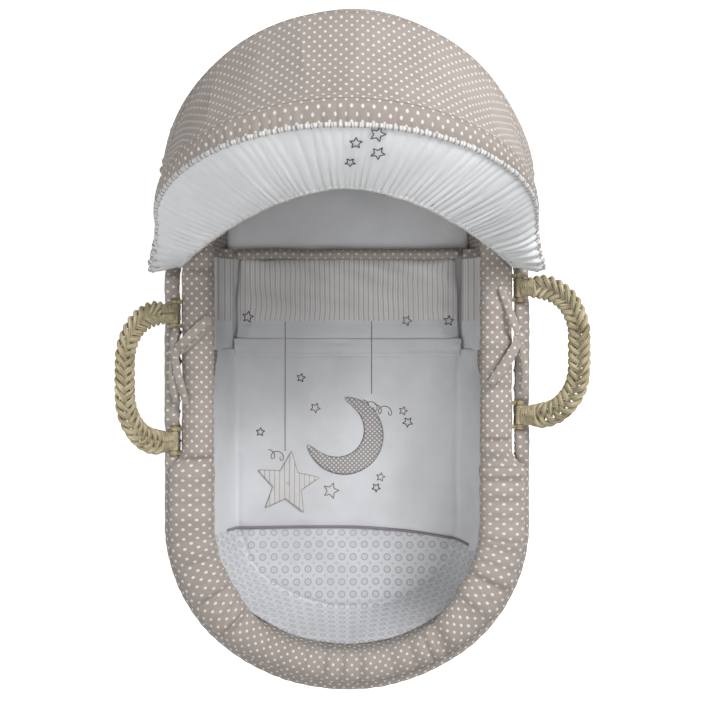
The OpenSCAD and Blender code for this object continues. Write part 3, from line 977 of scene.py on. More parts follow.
@dataclass(frozen=True)
class Hard(Finish):
    """Moulded plastic or drawn steel: slow mottle, fine scratches and a duller tone in places.

    Attributes:
        colour: main colour.
        metal: 1 for steel, 0 for plastic.
        rough: roughness.
    """

    colour: tuple[int, int, int]
    metal: float = 0.0
    rough: float = 0.4

    def paint(self, g: Graph, shader: bpy.types.Node) -> tuple[float, float, bpy.types.NodeSocket]:
        """Feeds colour and roughness; returns the bump's strength, distance and height."""
        place = g.node("ShaderNodeTexCoord").outputs["Object"]
        shade = g.group(mottle_effect(), Place=place, Scale=70.0)
        scratch = g.group(fibre_effect(), Place=place, Stretch=(90.0, 900.0, 90.0))
        dark = tuple(int(v * 0.86) for v in self.colour)
        g.feed(shader.inputs["Base Color"], g.mix(shade, srgb(*dark), srgb(*self.colour)))
        g.feed(shader.inputs["Roughness"], g.step(scratch, 0.3, 0.7, self.rough - 0.08, self.rough + 0.12))
        shader.inputs["Metallic"].default_value = self.metal
        return 0.15, 0.0004, scratch


TAUPE = (166, 157, 150)
DOTTED = Cotton("dotted cotton", TAUPE, (222, 217, 211), Print.DOTS)
# Darker copy of the dotted cotton for the liner: its ground colour is painted shade for the inside of the
# basket.
DOTTED_LINING_SHADED = Cotton("dotted lining", (150, 141, 135), (226, 222, 216), Print.DOTS)
WHITE = Cotton("white cotton", (226, 228, 231))
WHITE_FRILL = Cotton("white frill cotton", (226, 228, 230), creases=0.5)
COVERLET = Cotton("white coverlet cotton", (223, 225, 228), creases=0.7)
RINGS = Cotton("ring print cotton", (220, 221, 224), (178, 181, 188), Print.RINGS, (0.0151, 0.0164))
STRIPED = Cotton("striped cotton", (228, 228, 226), (186, 182, 184), Print.STRIPES, (0.0066, 0.0066))
STRIPED_PIPING = Cotton("striped piping cotton", (226, 226, 224), (150, 144, 146),
                        Print.STRIPES, (0.0075, 0.0075))
MAUVE = Cotton("mauve piping", (146, 138, 148))
THREAD_DARK = Cotton("dark stitching thread", (62, 52, 60))
THREAD_BROWN = Cotton("brown stitching thread", (128, 112, 108))
GREY_DOTS = Cotton("grey dotted felt", (160, 156, 156), (222, 220, 220), Print.DOTS, (0.006, 0.006), 0.2)
ELASTIC = Cotton("knitted elastic", (222, 222, 220), (200, 200, 200), Print.STRIPES, (0.0018, 0.0018))
PALM = Fibre("plaited palm", (198, 187, 156), (104, 92, 62))
WICKER = Fibre("woven palm wicker", (190, 172, 132), (110, 88, 54))
FLOOR_PALM = Fibre("woven palm floor", (186, 168, 128), (118, 96, 60), (60, 500, 60), False)
ANCHOR_PALM = Fibre("palm anchor", (182, 170, 134), (104, 90, 56), (60, 600, 60), False)
DOWEL = Fibre("wooden dowel", (176, 150, 110), (128, 100, 66), (500, 40, 500), False)
PLASTIC = Hard("white moulded plastic", (228, 228, 226), 0.0, 0.38)
STEEL = Hard("drawn steel wire", (188, 188, 190), 1.0, 0.32)


# ---------------------------------------------------------------- putting pieces on the frame

def dress(obj: bpy.types.Object, finish: Finish) -> bpy.types.Object:
    """Gives a piece its finish."""
    obj.data.materials.clear()
    obj.data.materials.append(finish.material())
    return obj


def report(obj: bpy.types.Object) -> bpy.types.Object:
    """Logs a finished piece, its number of faces and half of its surface, which is a cloth's own area."""
    half = sum(face.area for face in obj.data.polygons) / 2
    LOG.info("%s: %d faces, %.4f square metres", obj.name, len(obj.data.polygons), half)
    return obj


def refinish(node: str, finish: Finish) -> None:
    """Puts a finish on a carried-over CAD node."""
    obj = next(o for o in bpy.data.objects if o.get("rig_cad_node") == node or o.name == node)
    made = finish.material()
    if not obj.data.materials:
        obj.data.materials.append(made)
    for number in range(len(obj.data.materials)):
        obj.data.materials[number] = made
    LOG.info("%s: finished as %s", node, finish.name)


# ---------------------------------------------------------------- basket

@dataclass
class WickerBasket:
    """Woven palm basket: floor, rope coil at the foot, woven wall and the braid over the rim wire.

    Attributes:
        rows: rows of plait up the wall.
        strand: length of one strand's slant along a row, in metres.
        coil_r: radius of the rope at the foot.
    """

    rows: int = 13
    strand: float = 13 * MM
    coil_r: float = 7 * MM

    def wall(self) -> bpy.types.Object:
        """Wall with rows of plait: each row bulges as half a circle, and slanting strands cross it,
        leaning the other way in every second row; the back of the section is smooth."""
        s, turns = along_oval(760)
        low, high = 14.3 * MM, RIM_Z - BRAID_H - 0.3 * MM
        z = np.linspace(low, high, 92)[None, :]
        row = (z - low) / (high - low) * self.rows
        bulge = np.sqrt(np.clip(1 - (2 * (row % 1) - 1) ** 2, 0, 1))
        lean = np.where(np.floor(row) % 2 < 1, 1.0, -1.0)
        count = round(RIM.length / self.strand)
        strand = np.abs(np.sin(math.pi * (turns * count + lean * (row % 1) * 1.1)))
        out = bulge * 1.4 * MM + bulge * strand ** 0.6 * 1.5 * MM - 2.4 * MM
        out = out + closed_ripple(turns, 5, 6, 30) * 0.5 * MM
        inner_z = np.linspace(high, low, 5)[None, 1:-1]
        d = np.concatenate([wall_d(z) + out, wall_d(inner_z) - WALL_T + 0 * s], 1)
        z = np.concatenate([z, inner_z], 1)
        points = swept(s, np.concatenate([d, d[:, :1]], 1), np.concatenate([z, z[:, :1]], 1) + 0 * s)
        obj = surface("woven_wall", points, wrap_u=True, wrap_v=True)
        return dress(obj, WICKER)

    def rope(self, name: str, d: float, z: float, radius: float, strands: int, lay: float,
             flat: float = 1.0, finish: Fibre = WICKER) -> bpy.types.Object:
        """Twisted or plaited rope along the oval: its radius swells on strands that wind round it.

        Args:
            name: name of the piece.
            d: outward offset of its middle.
            z: height of its middle.
            radius: radius to the crests.
            strands: number of strands.
            lay: length in which a strand goes once round.
            flat: height as a share of width.
            finish: finish of the rope.
        Returns:
            The rope.
        """
        s, turns = along_oval(640)
        phi = np.linspace(0, math.tau, 17)[None, :]
        count = round(RIM.length / lay)
        swell = np.abs(np.cos(0.5 * strands * (phi - math.tau * count / strands * turns)))
        r = radius * (0.84 + 0.16 * swell ** 0.7)
        points = swept(s, d + r * np.cos(phi), z + r * flat * np.sin(phi))
        return dress(surface(name, points, wrap_u=True, wrap_v=True), finish)

    def build(self) -> None:
        """Makes the basket's pieces and puts them on the frame."""
        wall = self.wall()
        coil = self.rope("foot_rope", -36 * MM, 6.6 * MM, self.coil_r - 0.4 * MM, 4, 26 * MM, 0.98)
        braid = self.rope("rim_plait", -6 * MM, 220.5 * MM, 6.4 * MM, 4, 22 * MM, 1.1, PALM)
        for obj, node in ((wall, "basket_wall"), (coil, "base_coil"), (braid, "rim_braid")):
            report(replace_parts(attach(obj, "basket"), node))
        refinish("basket_floor", FLOOR_PALM)
        refinish("rim_wire", STEEL)


# ---------------------------------------------------------------- padded rim, skirt and liner

@dataclass
class PaddedRim:
    """Dotted roll over the rim, the skirt outside the basket, and the liner inside it.

    Attributes:
        hem_z: height of the skirt's gathered hem.
        roots: (side, place along the basket) of each root of a handle.
    """

    hem_z: float = 122 * MM
    roots: tuple[tuple[int, float], ...] = ((-1, -106 * MM), (-1, 50 * MM), (1, -74 * MM), (1, 82 * MM))

    def open_share(self, s: Array) -> Array:
        """1 where the slit lies beside the roll, 0 in the foot half, where roll and skirt are one band."""
        return ease(SLIT_END_Y - 14 * MM, SLIT_END_Y + 10 * MM, rim_y(s))

    def dip(self, s: Array) -> Array:
        """1 at the roots of the handles and the feet of the hood, where the skirt lies lower."""
        x, y = RIM.at(s)[0][..., 0], rim_y(s)
        total = np.zeros_like(y)
        for side, at in self.roots:
            total = np.maximum(total, np.exp(-((y - at) / (19 * MM)) ** 4) * (x * side > 0))
        return np.maximum(total, 1.9 * ease(92 * MM, 112 * MM, y))

    def roll(self) -> bpy.types.Object:
        """Puffy roll: a closed outline of inner side, crest, outer flank and flat underside over the rim.

        Its outer edge moves from beside the slit to over the skirt in the foot half, where pleats and
        radial gathers pull it in; tucks beside the slit's end pinch it.
        """
        s, turns = along_oval(900)
        y = rim_y(s)
        foot = 1 - self.open_share(s)
        end = ease(-300 * MM, -372 * MM, y)
        phi = np.linspace(0, 1, 15)[None, :]
        outer = 2.5 * MM + foot * (16.5 - 4.5 * end) * MM
        crest = RIM_Z + (16.5 + 1.5 * foot) * MM
        inner = (36.5 - 13 * end) * MM
        middle = (outer - inner) / 2
        half = (outer + inner) / 2
        angle = math.pi * (1.26 - 1.30 * phi)
        top_d = middle + half * np.cos(angle)
        rise = np.where(np.sin(angle) > 0, (crest - RIM_Z - 1.5 * MM) * np.abs(np.sin(angle)) ** 0.72,
                        15 * MM * np.sin(angle))
        top_z = RIM_Z + 1.5 * MM + rise
        puff = gathers(s, 31, 26 * MM) * (0.35 + foot * (0.5 + end))
        puff = puff + closed_ripple(turns, 8, 30, 90) * 0.5
        pinch = sum(np.exp(-((s - at) / (3.2 * MM)) ** 2) for at in self.tucks())
        lift = np.clip(np.sin(angle), 0, 1) ** 0.6
        top_z = top_z + (puff * 4.4 * MM - 6.5 * MM * pinch) * lift - 2.6 * MM * foot
        top_d = top_d + 1.3 * MM * puff * (1 - lift) * np.sign(np.cos(angle))
        wall = np.full_like(s, -12.4 * MM)
        under = np.concatenate([top_d[:, -1:], wall, wall, top_d[:, :1]], 1)
        under_z = np.concatenate([np.full_like(s, RIM_Z + 0.9 * MM), np.full_like(s, RIM_Z + 0.5 * MM),
                                  np.full_like(s, RIM_Z - 12 * MM), top_z[:, :1]], 1)
        d = np.concatenate([top_d, under], 1)
        z = np.concatenate([np.maximum(top_z, np.where(top_d > -12.4 * MM, RIM_Z + 0.9 * MM, 0)), under_z], 1)
        across = np.concatenate([[0], np.cumsum(np.hypot(np.diff(d[40]), np.diff(z[40])))])
        uv = np.stack(np.meshgrid(s[:, 0], across, indexing="ij"), -1)
        return dress(surface("padded_roll", swept(s, d, z), uv, True, True), DOTTED)

    def tucks(self) -> list[float]:
        """Distances round the rim of the seams that pinch the roll: at the slit's ends and at the foot."""
        stations = np.linspace(0, RIM.length, 4000)
        p = RIM.at(stations)[0]
        wanted = ((214, -106), (-214, -128), (200, -140), (-168, -300), (-150, -345), (120, -365))
        return [float(stations[np.argmin(np.hypot(p[:, 0] - x * MM, p[:, 1] - y * MM))]) for x, y in wanted]

    def skirt(self) -> bpy.types.Object:
        """Skirt as one cloth: from its upper edge over a soft crest and down to the elastic at the hem.

        Outward offset and height follow the share v down the cloth; gathers grow from the crest to the
        hem, and the cloth dips at the roots of the handles.
        """
        s, turns = along_oval(1000)
        v = np.linspace(0, 1, 22)[None, :]
        slit = self.open_share(s)
        dip = self.dip(s) * slit
        edge = (7.0 * slit + 15.5 * (1 - slit)) * MM
        top = RIM_Z + ((4.0 - 10.5 * dip) * slit + 1.0 * (1 - slit)) * MM
        over = ease(0.0, 0.26, v)
        hang = np.clip((v - 0.2) / 0.8, 0, 1)
        d = edge + (25.5 * MM - edge) * np.sin(over * math.pi / 2) - 3 * MM * ease(0.75, 1.0, v) * 1.4
        crest = 5.5 * MM * slit * np.sin(math.pi * np.clip(v / 0.22, 0, 1)) * np.clip(1 - 0.8 * dip, 0, 1)
        z = top + crest - (top - self.hem_z) * hang ** 1.25
        fold = gathers(s, 77, 17 * MM) - 0.55
        d = d + fold * MM * (0.9 + 5.0 * ease(0.2, 0.9, v)) - 1.5 * MM * (1 - v)
        d = d + closed_ripple(turns, 3, 5, 16) * 1.5 * MM * hang
        d = np.minimum(d, 31 * MM)
        z = z + closed_ripple(turns, 12, 9, 40) * 1.2 * MM * ease(0.5, 1, v)
        obj = shell("skirt_cloth", swept(s, d, z), -1.2 * MM, wrap_u=True)
        return dress(obj, DOTTED)

    def hem(self) -> bpy.types.Object:
        """Elastic in the hem: a flattened ring crinkled by the gathers."""
        s, turns = along_oval(900)
        phi = np.linspace(0, math.tau, 9)[None, :]
        fold = gathers(s, 77, 17 * MM) - 0.55
        d = 19.8 * MM + fold * 5.4 * MM + closed_ripple(turns, 3, 5, 16) * 1.5 * MM + 1.4 * MM * np.cos(phi)
        z = self.hem_z - 2.2 * MM + closed_ripple(turns, 12, 9, 40) * 1.2 * MM + 2.4 * MM * np.sin(phi)
        obj = surface("skirt_elastic_hem", swept(s, d, z), wrap_u=True, wrap_v=True)
        return dress(obj, ELASTIC)

    def liner(self) -> bpy.types.Object:
        """Liner inside the wall: a hanging cloth with shallow upright folds, its top edge under the roll."""
        s, turns = along_oval(620)
        z = np.linspace(16 * MM, 213 * MM, 26)[None, :]
        fold = gathers(s, 51, 30 * MM) * 2.4 * MM * ease(220 * MM, 120 * MM, z)
        d = liner_d(z) - fold + 0.8 * MM + closed_ripple(turns, 15, 8, 24) * 0.6 * MM
        d = np.minimum(d, liner_d(z) + 0.8 * MM)
        obj = shell("liner_cloth", swept(s, d, z + 0 * s), 1.0 * MM, wrap_u=True)
        # The liner wears the darker copy of the dotted cotton, whose ground holds painted shade.
        return dress(obj, DOTTED_LINING_SHADED)

    def build(self) -> None:
        roll, skirt, hem, liner = self.roll(), self.skirt(), self.hem(), self.liner()
        pieces = {"rim_bumper": roll, "skirt": skirt, "skirt_elastic": hem, "liner_wall": liner}
        for node, obj in pieces.items():
            report(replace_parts(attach(obj, "basket"), node))


# ---------------------------------------------------------------- bedding

BED = Oval(RIM_HALF_W + float(liner_d(COVER_TOP)) - 1 * MM, RIM_HALF_L + float(liner_d(COVER_TOP)) - 1 * MM)


def patch(top_y: float, oval: Oval, m: int, n: int) -> Array:
    """Grid over the part of an oval on the foot side of a line across it.

    A Coons patch: the straight line, two runs down the sides and one round the foot end are blended,
    minus the share of the four corners that both blends hold.

    Args:
        top_y: the line across.
        oval: outline.
        m: steps across.
        n: steps from the line to the foot end.
    Returns:
        Points (x, y) of shape (m + 1, n + 1, 2).
    """
    stations = np.linspace(0, oval.length / 2, 3000)
    p = oval.at(stations)[0]
    begin = stations[np.argmin(np.abs(p[:, 1] - top_y) + (p[:, 0] < 0) + (p[:, 1] > top_y + 0.01))]
    corner = oval.length / 2 - 0.62 * oval.end_r
    u, v = np.linspace(0, 1, m + 1)[:, None], np.linspace(0, 1, n + 1)[None, :]
    right = oval.at(begin + (corner - begin) * v)[0]
    left = right * np.array([-1, 1])
    foot = oval.at(oval.length - corner + (2 * corner - oval.length) * u)[0]
    head = np.stack([left[0, 0, 0] * (1 - 2 * u), np.full_like(u, left[0, 0, 1])], -1)
    u3, v3 = u[..., None], v[..., None]
    flat = (1 - v3) * head + v3 * foot + (1 - u3) * left + u3 * right
    both = ((1 - u3) * (1 - v3) * head[:1] + u3 * (1 - v3) * head[-1:]
            + (1 - u3) * v3 * foot[:1] + u3 * v3 * foot[-1:])
    return flat - both


@dataclass
class Bedding:
    """Mattress, the tucked-in coverlet with its panels, and the part of it that turns back.

    Attributes:
        half_w: half width of the part that turns back.
        joint_y: line across at which the coverlet turns.
        hinge_z: height of that line; not used.
    """

    half_w: float = 150 * MM
    joint_y: float = 10 * MM
    hinge_z: float = 79.6 * MM

    def mattress(self) -> bpy.types.Object:
        """Mattress: both faces over the whole bed, crowned a little, with a round edge."""
        oval = Oval(RIM_HALF_W - 36.5 * MM, RIM_HALF_L - 36.5 * MM)
        turns = np.linspace(0, 1, 221)[:, None]
        ray = np.linspace(0, 1, 26)[None, :]
        p = oval.at(turns * oval.length)[0]
        s = np.sin(ray * math.pi / 2)[..., None]
        middle = np.stack([np.zeros_like(turns), p[..., 1] * 0.55], -1)
        flat = middle + (p - middle) * s
        x, y = flat[..., 0], flat[..., 1]
        rise = 26 * MM * (1 - ray ** 14) ** 0.5 + 0 * x
        soft = ripple(x, y, 21, 0.11) * 0.8 * MM * (1 - ray ** 3)
        top = np.concatenate([flat, (32.2 * MM + rise + soft - 0.7 * MM)[..., None]], -1)
        low = np.concatenate([flat, (32.2 * MM - rise * 0.99)[..., None]], -1)
        points = np.concatenate([top, low[:, -2::-1]], 1)
        uv = points[..., :2]
        return dress(surface("mattress", points, uv, wrap_u=True), WHITE)

    def height(self, x: Array, y: Array) -> Array:
        """Top of the tucked-in coverlet: flat in the middle, softly creased, its edge swept up the liner.

        The rise is a power of the share of the last 16.5 mm inside the oval, and slow ripples run across.
        """
        inside = BED.depth(x, y)
        rise = 96 * MM * np.clip(1 - inside / (16.5 * MM), 0, 1) ** 1.5
        rise = rise * (0.42 + 0.58 * ease(TURN_Y - 5 * MM, TURN_Y - 75 * MM, y))
        puff = 2.6 * MM * ease(0.0, 0.05, inside) + ripple(x, y, 41, 0.09) * 1.1 * MM
        crease = np.abs(ripple(x + y * 0.7, y, 42, 0.15, 5)) ** 0.8 * MM
        seam = np.exp(-((y + 0.230 + self.sag(x)) / 0.006) ** 2) * 2.2 * MM
        return COVER_TOP - 4.6 * MM + puff + crease + rise - seam

    @staticmethod
    def sag(x: Array) -> Array:
        """How far the piping's line dips towards the foot away from its middle, more on the right."""
        return 16 * MM * (np.clip(x + 0.03, 0, None) / 0.18) ** 2.2 + 2 * MM * (x / 0.16) ** 2 - 1 * MM

    def lower(self) -> bpy.types.Object:
        """Tucked-in coverlet: its face follows height(), its back lies on the mattress and the liner."""
        grid = patch(self.joint_y - 1 * MM, BED, 76, 92)
        outer = self.spread(grid)
        x, y = grid[..., 0], grid[..., 1]
        top = np.concatenate([outer, self.height(x, y)[..., None]], -1)
        low = top.copy()
        low[..., 2] = np.maximum(60 * MM, top[..., 2] - 13 * MM)
        obj = self.closed("coverlet_tucked", top, low)
        plump(obj, 0, 2.0, 3 * MM)
        map_from_above(obj)
        return self.panels(obj)

    @staticmethod
    def spread(grid: Array) -> Array:
        """Moves the last 16.5 mm of a bed outline outwards with the leaning liner, as its edge rides up."""
        inside = BED.depth(grid[..., 0], grid[..., 1])
        out = 1 + 0.075 * np.clip(1 - inside / (16.5 * MM), 0, 1) ** 1.5
        return grid * np.stack([out, 1 + (out - 1) * 0.45], -1)

    @staticmethod
    def closed(name: str, top: Array, low: Array) -> bpy.types.Object:
        """Closed pad from two grids of the same outline, joined round the border by a rounded strip."""
        m, n = top.shape[0] - 1, top.shape[1] - 1
        k = (m + 1) * (n + 1)
        number = np.arange(k).reshape(m + 1, n + 1)
        loop = np.concatenate([number[:, 0], number[-1, 1:], number[-2::-1, -1], number[0, -2:0:-1]])
        after = np.roll(loop, -1)
        both = np.concatenate([top.reshape(-1, 3), low.reshape(-1, 3)])
        middle = both[loop] * 0.5 + both[loop + k] * 0.5
        centre = np.array([0, *top[..., 1:].mean((0, 1))])
        height = np.linalg.norm(both[loop] - both[loop + k], axis=1)[:, None]
        middle += unit((middle - centre) * [1, 1, 0]) * height * 0.12
        rim = np.arange(len(loop)) + 2 * k
        faces = np.concatenate([quads(m, n, False, False), quads(m, n, False, False, k),
                                np.stack([loop, after, np.roll(rim, -1), rim], -1),
                                np.stack([rim, np.roll(rim, -1), after + k, loop + k], -1)])
        places = np.concatenate([both, middle])
        return new_mesh(name, places, faces, places[faces.reshape(-1), :2])

    def panels(self, obj: bpy.types.Object) -> bpy.types.Object:
        """White cotton above the piping and ring print below it, as two materials of one coverlet."""
        dress(obj, COVERLET)
        obj.data.materials.append(RINGS.material())
        count = len(obj.data.polygons)
        middle = np.zeros(count * 3, np.float32)
        obj.data.polygons.foreach_get("center", middle)
        middle = middle.reshape(-1, 3)
        below = middle[:, 1] < -0.230 - self.sag(middle[:, 0])
        obj.data.polygons.foreach_set("material_index", below.astype(np.int32))
        return obj

    def piping(self, target: bpy.types.Object) -> bpy.types.Object:
        """Mauve piping cord across the coverlet, laid on the seam between the panels."""
        x = np.linspace(-158 * MM, 158 * MM, 140)
        y = -0.230 - self.sag(x)
        path = lay_on(np.stack([x, y], -1), [target]) + np.array([0, 0, 1.2 * MM])
        obj = band("coverlet_piping_cord", path, (0, 0, 1), ring(1.9 * MM))
        return dress(obj, MAUVE)

    def turned(self) -> bpy.types.Object:
        """Part of the coverlet that turns back: a pad with a puffed face, softly wavy sides and creases."""
        u, v = np.meshgrid(np.linspace(-1, 1, 90), np.linspace(0, 1, 44), indexing="ij")
        y = self.joint_y + 1.2 * MM + (HEAD_Y - 12 * MM - self.joint_y) * v
        half = self.half_w - 2 * MM + ripple(y, 0 * y, 61, 0.06) * 1.3 * MM + 3 * MM * (1 - v)
        x = u * half
        edge = np.clip((1 - np.abs(u)) / 0.10, 0, 1) ** 0.5
        puff = 14.5 * MM * (0.62 + 0.38 * edge) + self.soft(x, y) * ease(0.0, 0.3, v)
        seam = np.exp(-((y - SEAM_Y) / 0.005) ** 2) * 1.6 * MM
        top = np.stack([x, y, 60.6 * MM + puff - seam + 1.2 * MM], -1)
        low = np.stack([x, y, np.full_like(x, 60.6 * MM)], -1)
        obj = self.closed("coverlet_turn_back_pad", top, low)
        plump(obj, 5 * MM, 3.0, 3 * MM)
        map_from_above(obj)
        dress(obj, COVERLET)
        obj.data.materials.append(STRIPED.material())
        middle = np.zeros(len(obj.data.polygons) * 3, np.float32)
        obj.data.polygons.foreach_get("center", middle)
        banded = (middle.reshape(-1, 3)[:, 1] > SEAM_Y).astype(np.int32)
        obj.data.polygons.foreach_set("material_index", banded)
        return obj

    @staticmethod
    def soft(x: Array, y: Array) -> Array:
        """Creases of the turned-back part: slow ripples, stronger and slanting over the striped band."""
        slant = np.abs(ripple(x * 0.8 + y * 1.2, y * 0.6 - x * 0.3, 71, 0.075, 5))
        return ripple(x, y, 41, 0.09) * 1.2 * MM + slant * 2.4 * MM * ease(SEAM_Y - 0.01, SEAM_Y + 0.02, y)

    def side_tuck(self, side: int) -> bpy.types.Object:
        """Edge of the coverlet tucked up the liner beside the turn-back: white, striped, then dotted."""
        u, v = np.meshgrid(np.linspace(0, 1, 12), np.linspace(0, 1, 60), indexing="ij")
        y = self.joint_y - 4 * MM + (HEAD_Y + 5 * MM - self.joint_y) * v
        x = 152.2 * MM + 20.5 * MM * u ** 0.75
        z = 72 * MM + 5 * MM * ease(0, 0.25, u) + 42 * MM * u ** 1.9 * (1 - 0.55 * ease(0.9, 1.0, v))
        z = z + ripple(y, x, 64 + side, 0.05) * 1.4 * MM * np.sin(math.pi * u)
        points = np.stack([side * x, y, z], -1)
        name = f"coverlet_side_tuck_{'right' if side > 0 else 'left'}"
        obj = shell(name, points, -2.4 * MM * side, points[..., :2])
        dress(obj, COVERLET)
        obj.data.materials.append(STRIPED.material())
        obj.data.materials.append(DOTTED.material())
        middle = np.zeros(len(obj.data.polygons) * 3, np.float32)
        obj.data.polygons.foreach_get("center", middle)
        across = middle.reshape(-1, 3)[:, 1]
        which = (across > SEAM_Y).astype(np.int32) + (across > HEAD_Y - 13 * MM)
        obj.data.polygons.foreach_set("material_index", which.astype(np.int32))
        return obj

    def binding(self) -> bpy.types.Object:
        """Dotted binding folded over the head edge: a fat flattened roll along the edge."""
        x = np.linspace(-self.half_w, self.half_w, 120)
        y = HEAD_Y - 6.5 * MM + ripple(x, 0 * x, 81, 0.08) * 0.8 * MM
        z = 71.5 * MM + ripple(x, 0 * x, 82, 0.10) * 1.2 * MM
        end = np.clip((1 - np.abs(x) / self.half_w) / 0.02, 0.3, 1) ** 0.5
        outline = ring(1.0, 14)
        outline = np.stack([outline[:, 0] * 7.0 * MM, outline[:, 1] * 8.6 * MM], -1)
        obj = band("coverlet_head_binding", np.stack([x, y, z], -1), (0, 0, 1), outline, end)
        return dress(obj, DOTTED)

    def fold(self, targets: Sequence[bpy.types.Object]) -> bpy.types.Object:
        """Cloth over the line where the coverlet turns: a strip laid on both parts."""
        u, v = np.meshgrid(np.linspace(-1, 1, 90), np.linspace(-1, 1, 9), indexing="ij")
        x, y = u * (self.half_w + 1 * MM), self.joint_y + v * 12 * MM
        z = lay_on(np.stack([x, y], -1), targets)[..., 2]
        rows = np.where(np.abs(v) > 0.7, z, -1.0)
        z = np.maximum(z, rows.max(1, keepdims=True) - 1.5 * MM) + 0.5 * MM + 0.8 * MM * (1 - v ** 2)
        points = np.stack([x, y, z], -1)[:, ::-1]
        obj = shell("coverlet_fold", points, 1.4 * MM, points[..., :2])
        return dress(obj, COVERLET)

    def build(self) -> None:
        mattress, lower, turned = self.mattress(), self.lower(), self.turned()
        piping, binding, fold = self.piping(lower), self.binding(), self.fold([lower, turned])
        report(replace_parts(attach(mattress, "basket"), "mattress_foam", "mattress_cover"))
        report(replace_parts(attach(lower, "basket"),
                           "coverlet_lower", "coverlet_panel", "coverlet_foot_panel"))
        report(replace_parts(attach(piping, "basket"), "coverlet_piping"))
        report(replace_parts(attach(turned, "coverlet_turn"), "coverlet_upper", "coverlet_band"))
        report(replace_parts(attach(binding, "coverlet_turn"), "coverlet_binding"))
        report(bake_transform(fold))
        for side in (-1, 1):
            tuck = report(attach(self.side_tuck(side), "basket"))
        Stitching([lower, turned, fold], self.joint_y).build()


def lay_on(places: Array, targets: Sequence[bpy.types.Object]) -> Array:
    """Drops points straight down onto pieces.

    A loose mesh of the points is shrink-wrapped downwards onto each piece, and the highest landing is kept.

    Args:
        places: (x, y) of any grid shape.
        targets: the pieces below.
    Returns:
        Points (x, y, z) of the same grid shape.
    """
    high = 0.9
    flat = places.reshape(-1, 2)
    best = np.full(len(flat), -1.0)
    for target in targets:
        mesh = bpy.data.meshes.new("falling")
        mesh.from_pydata(np.column_stack([flat, np.full(len(flat), high)]).tolist(), [], [])
        obj = bpy.data.objects.new("falling", mesh)
        bpy.context.scene.collection.objects.link(obj)
        fall = obj.modifiers.new("fall", "SHRINKWRAP")
        fall.wrap_method, fall.target = "PROJECT", target
        fall.use_project_z, fall.use_negative_direction, fall.use_positive_direction = True, True, False
        bpy.context.view_layer.update()
        landed = positions(obj.evaluated_get(bpy.context.evaluated_depsgraph_get()))[:, 2]
        best = np.maximum(best, np.where(landed > high - 0.01, -1.0, landed))
        bpy.data.objects.remove(obj)
        bpy.data.meshes.remove(mesh)
    best = np.where(best < 0, np.median(best[best > 0]) if (best > 0).any() else 0.08, best)
    return np.concatenate([places, best.reshape(places.shape[:-1] + (1,))], -1)


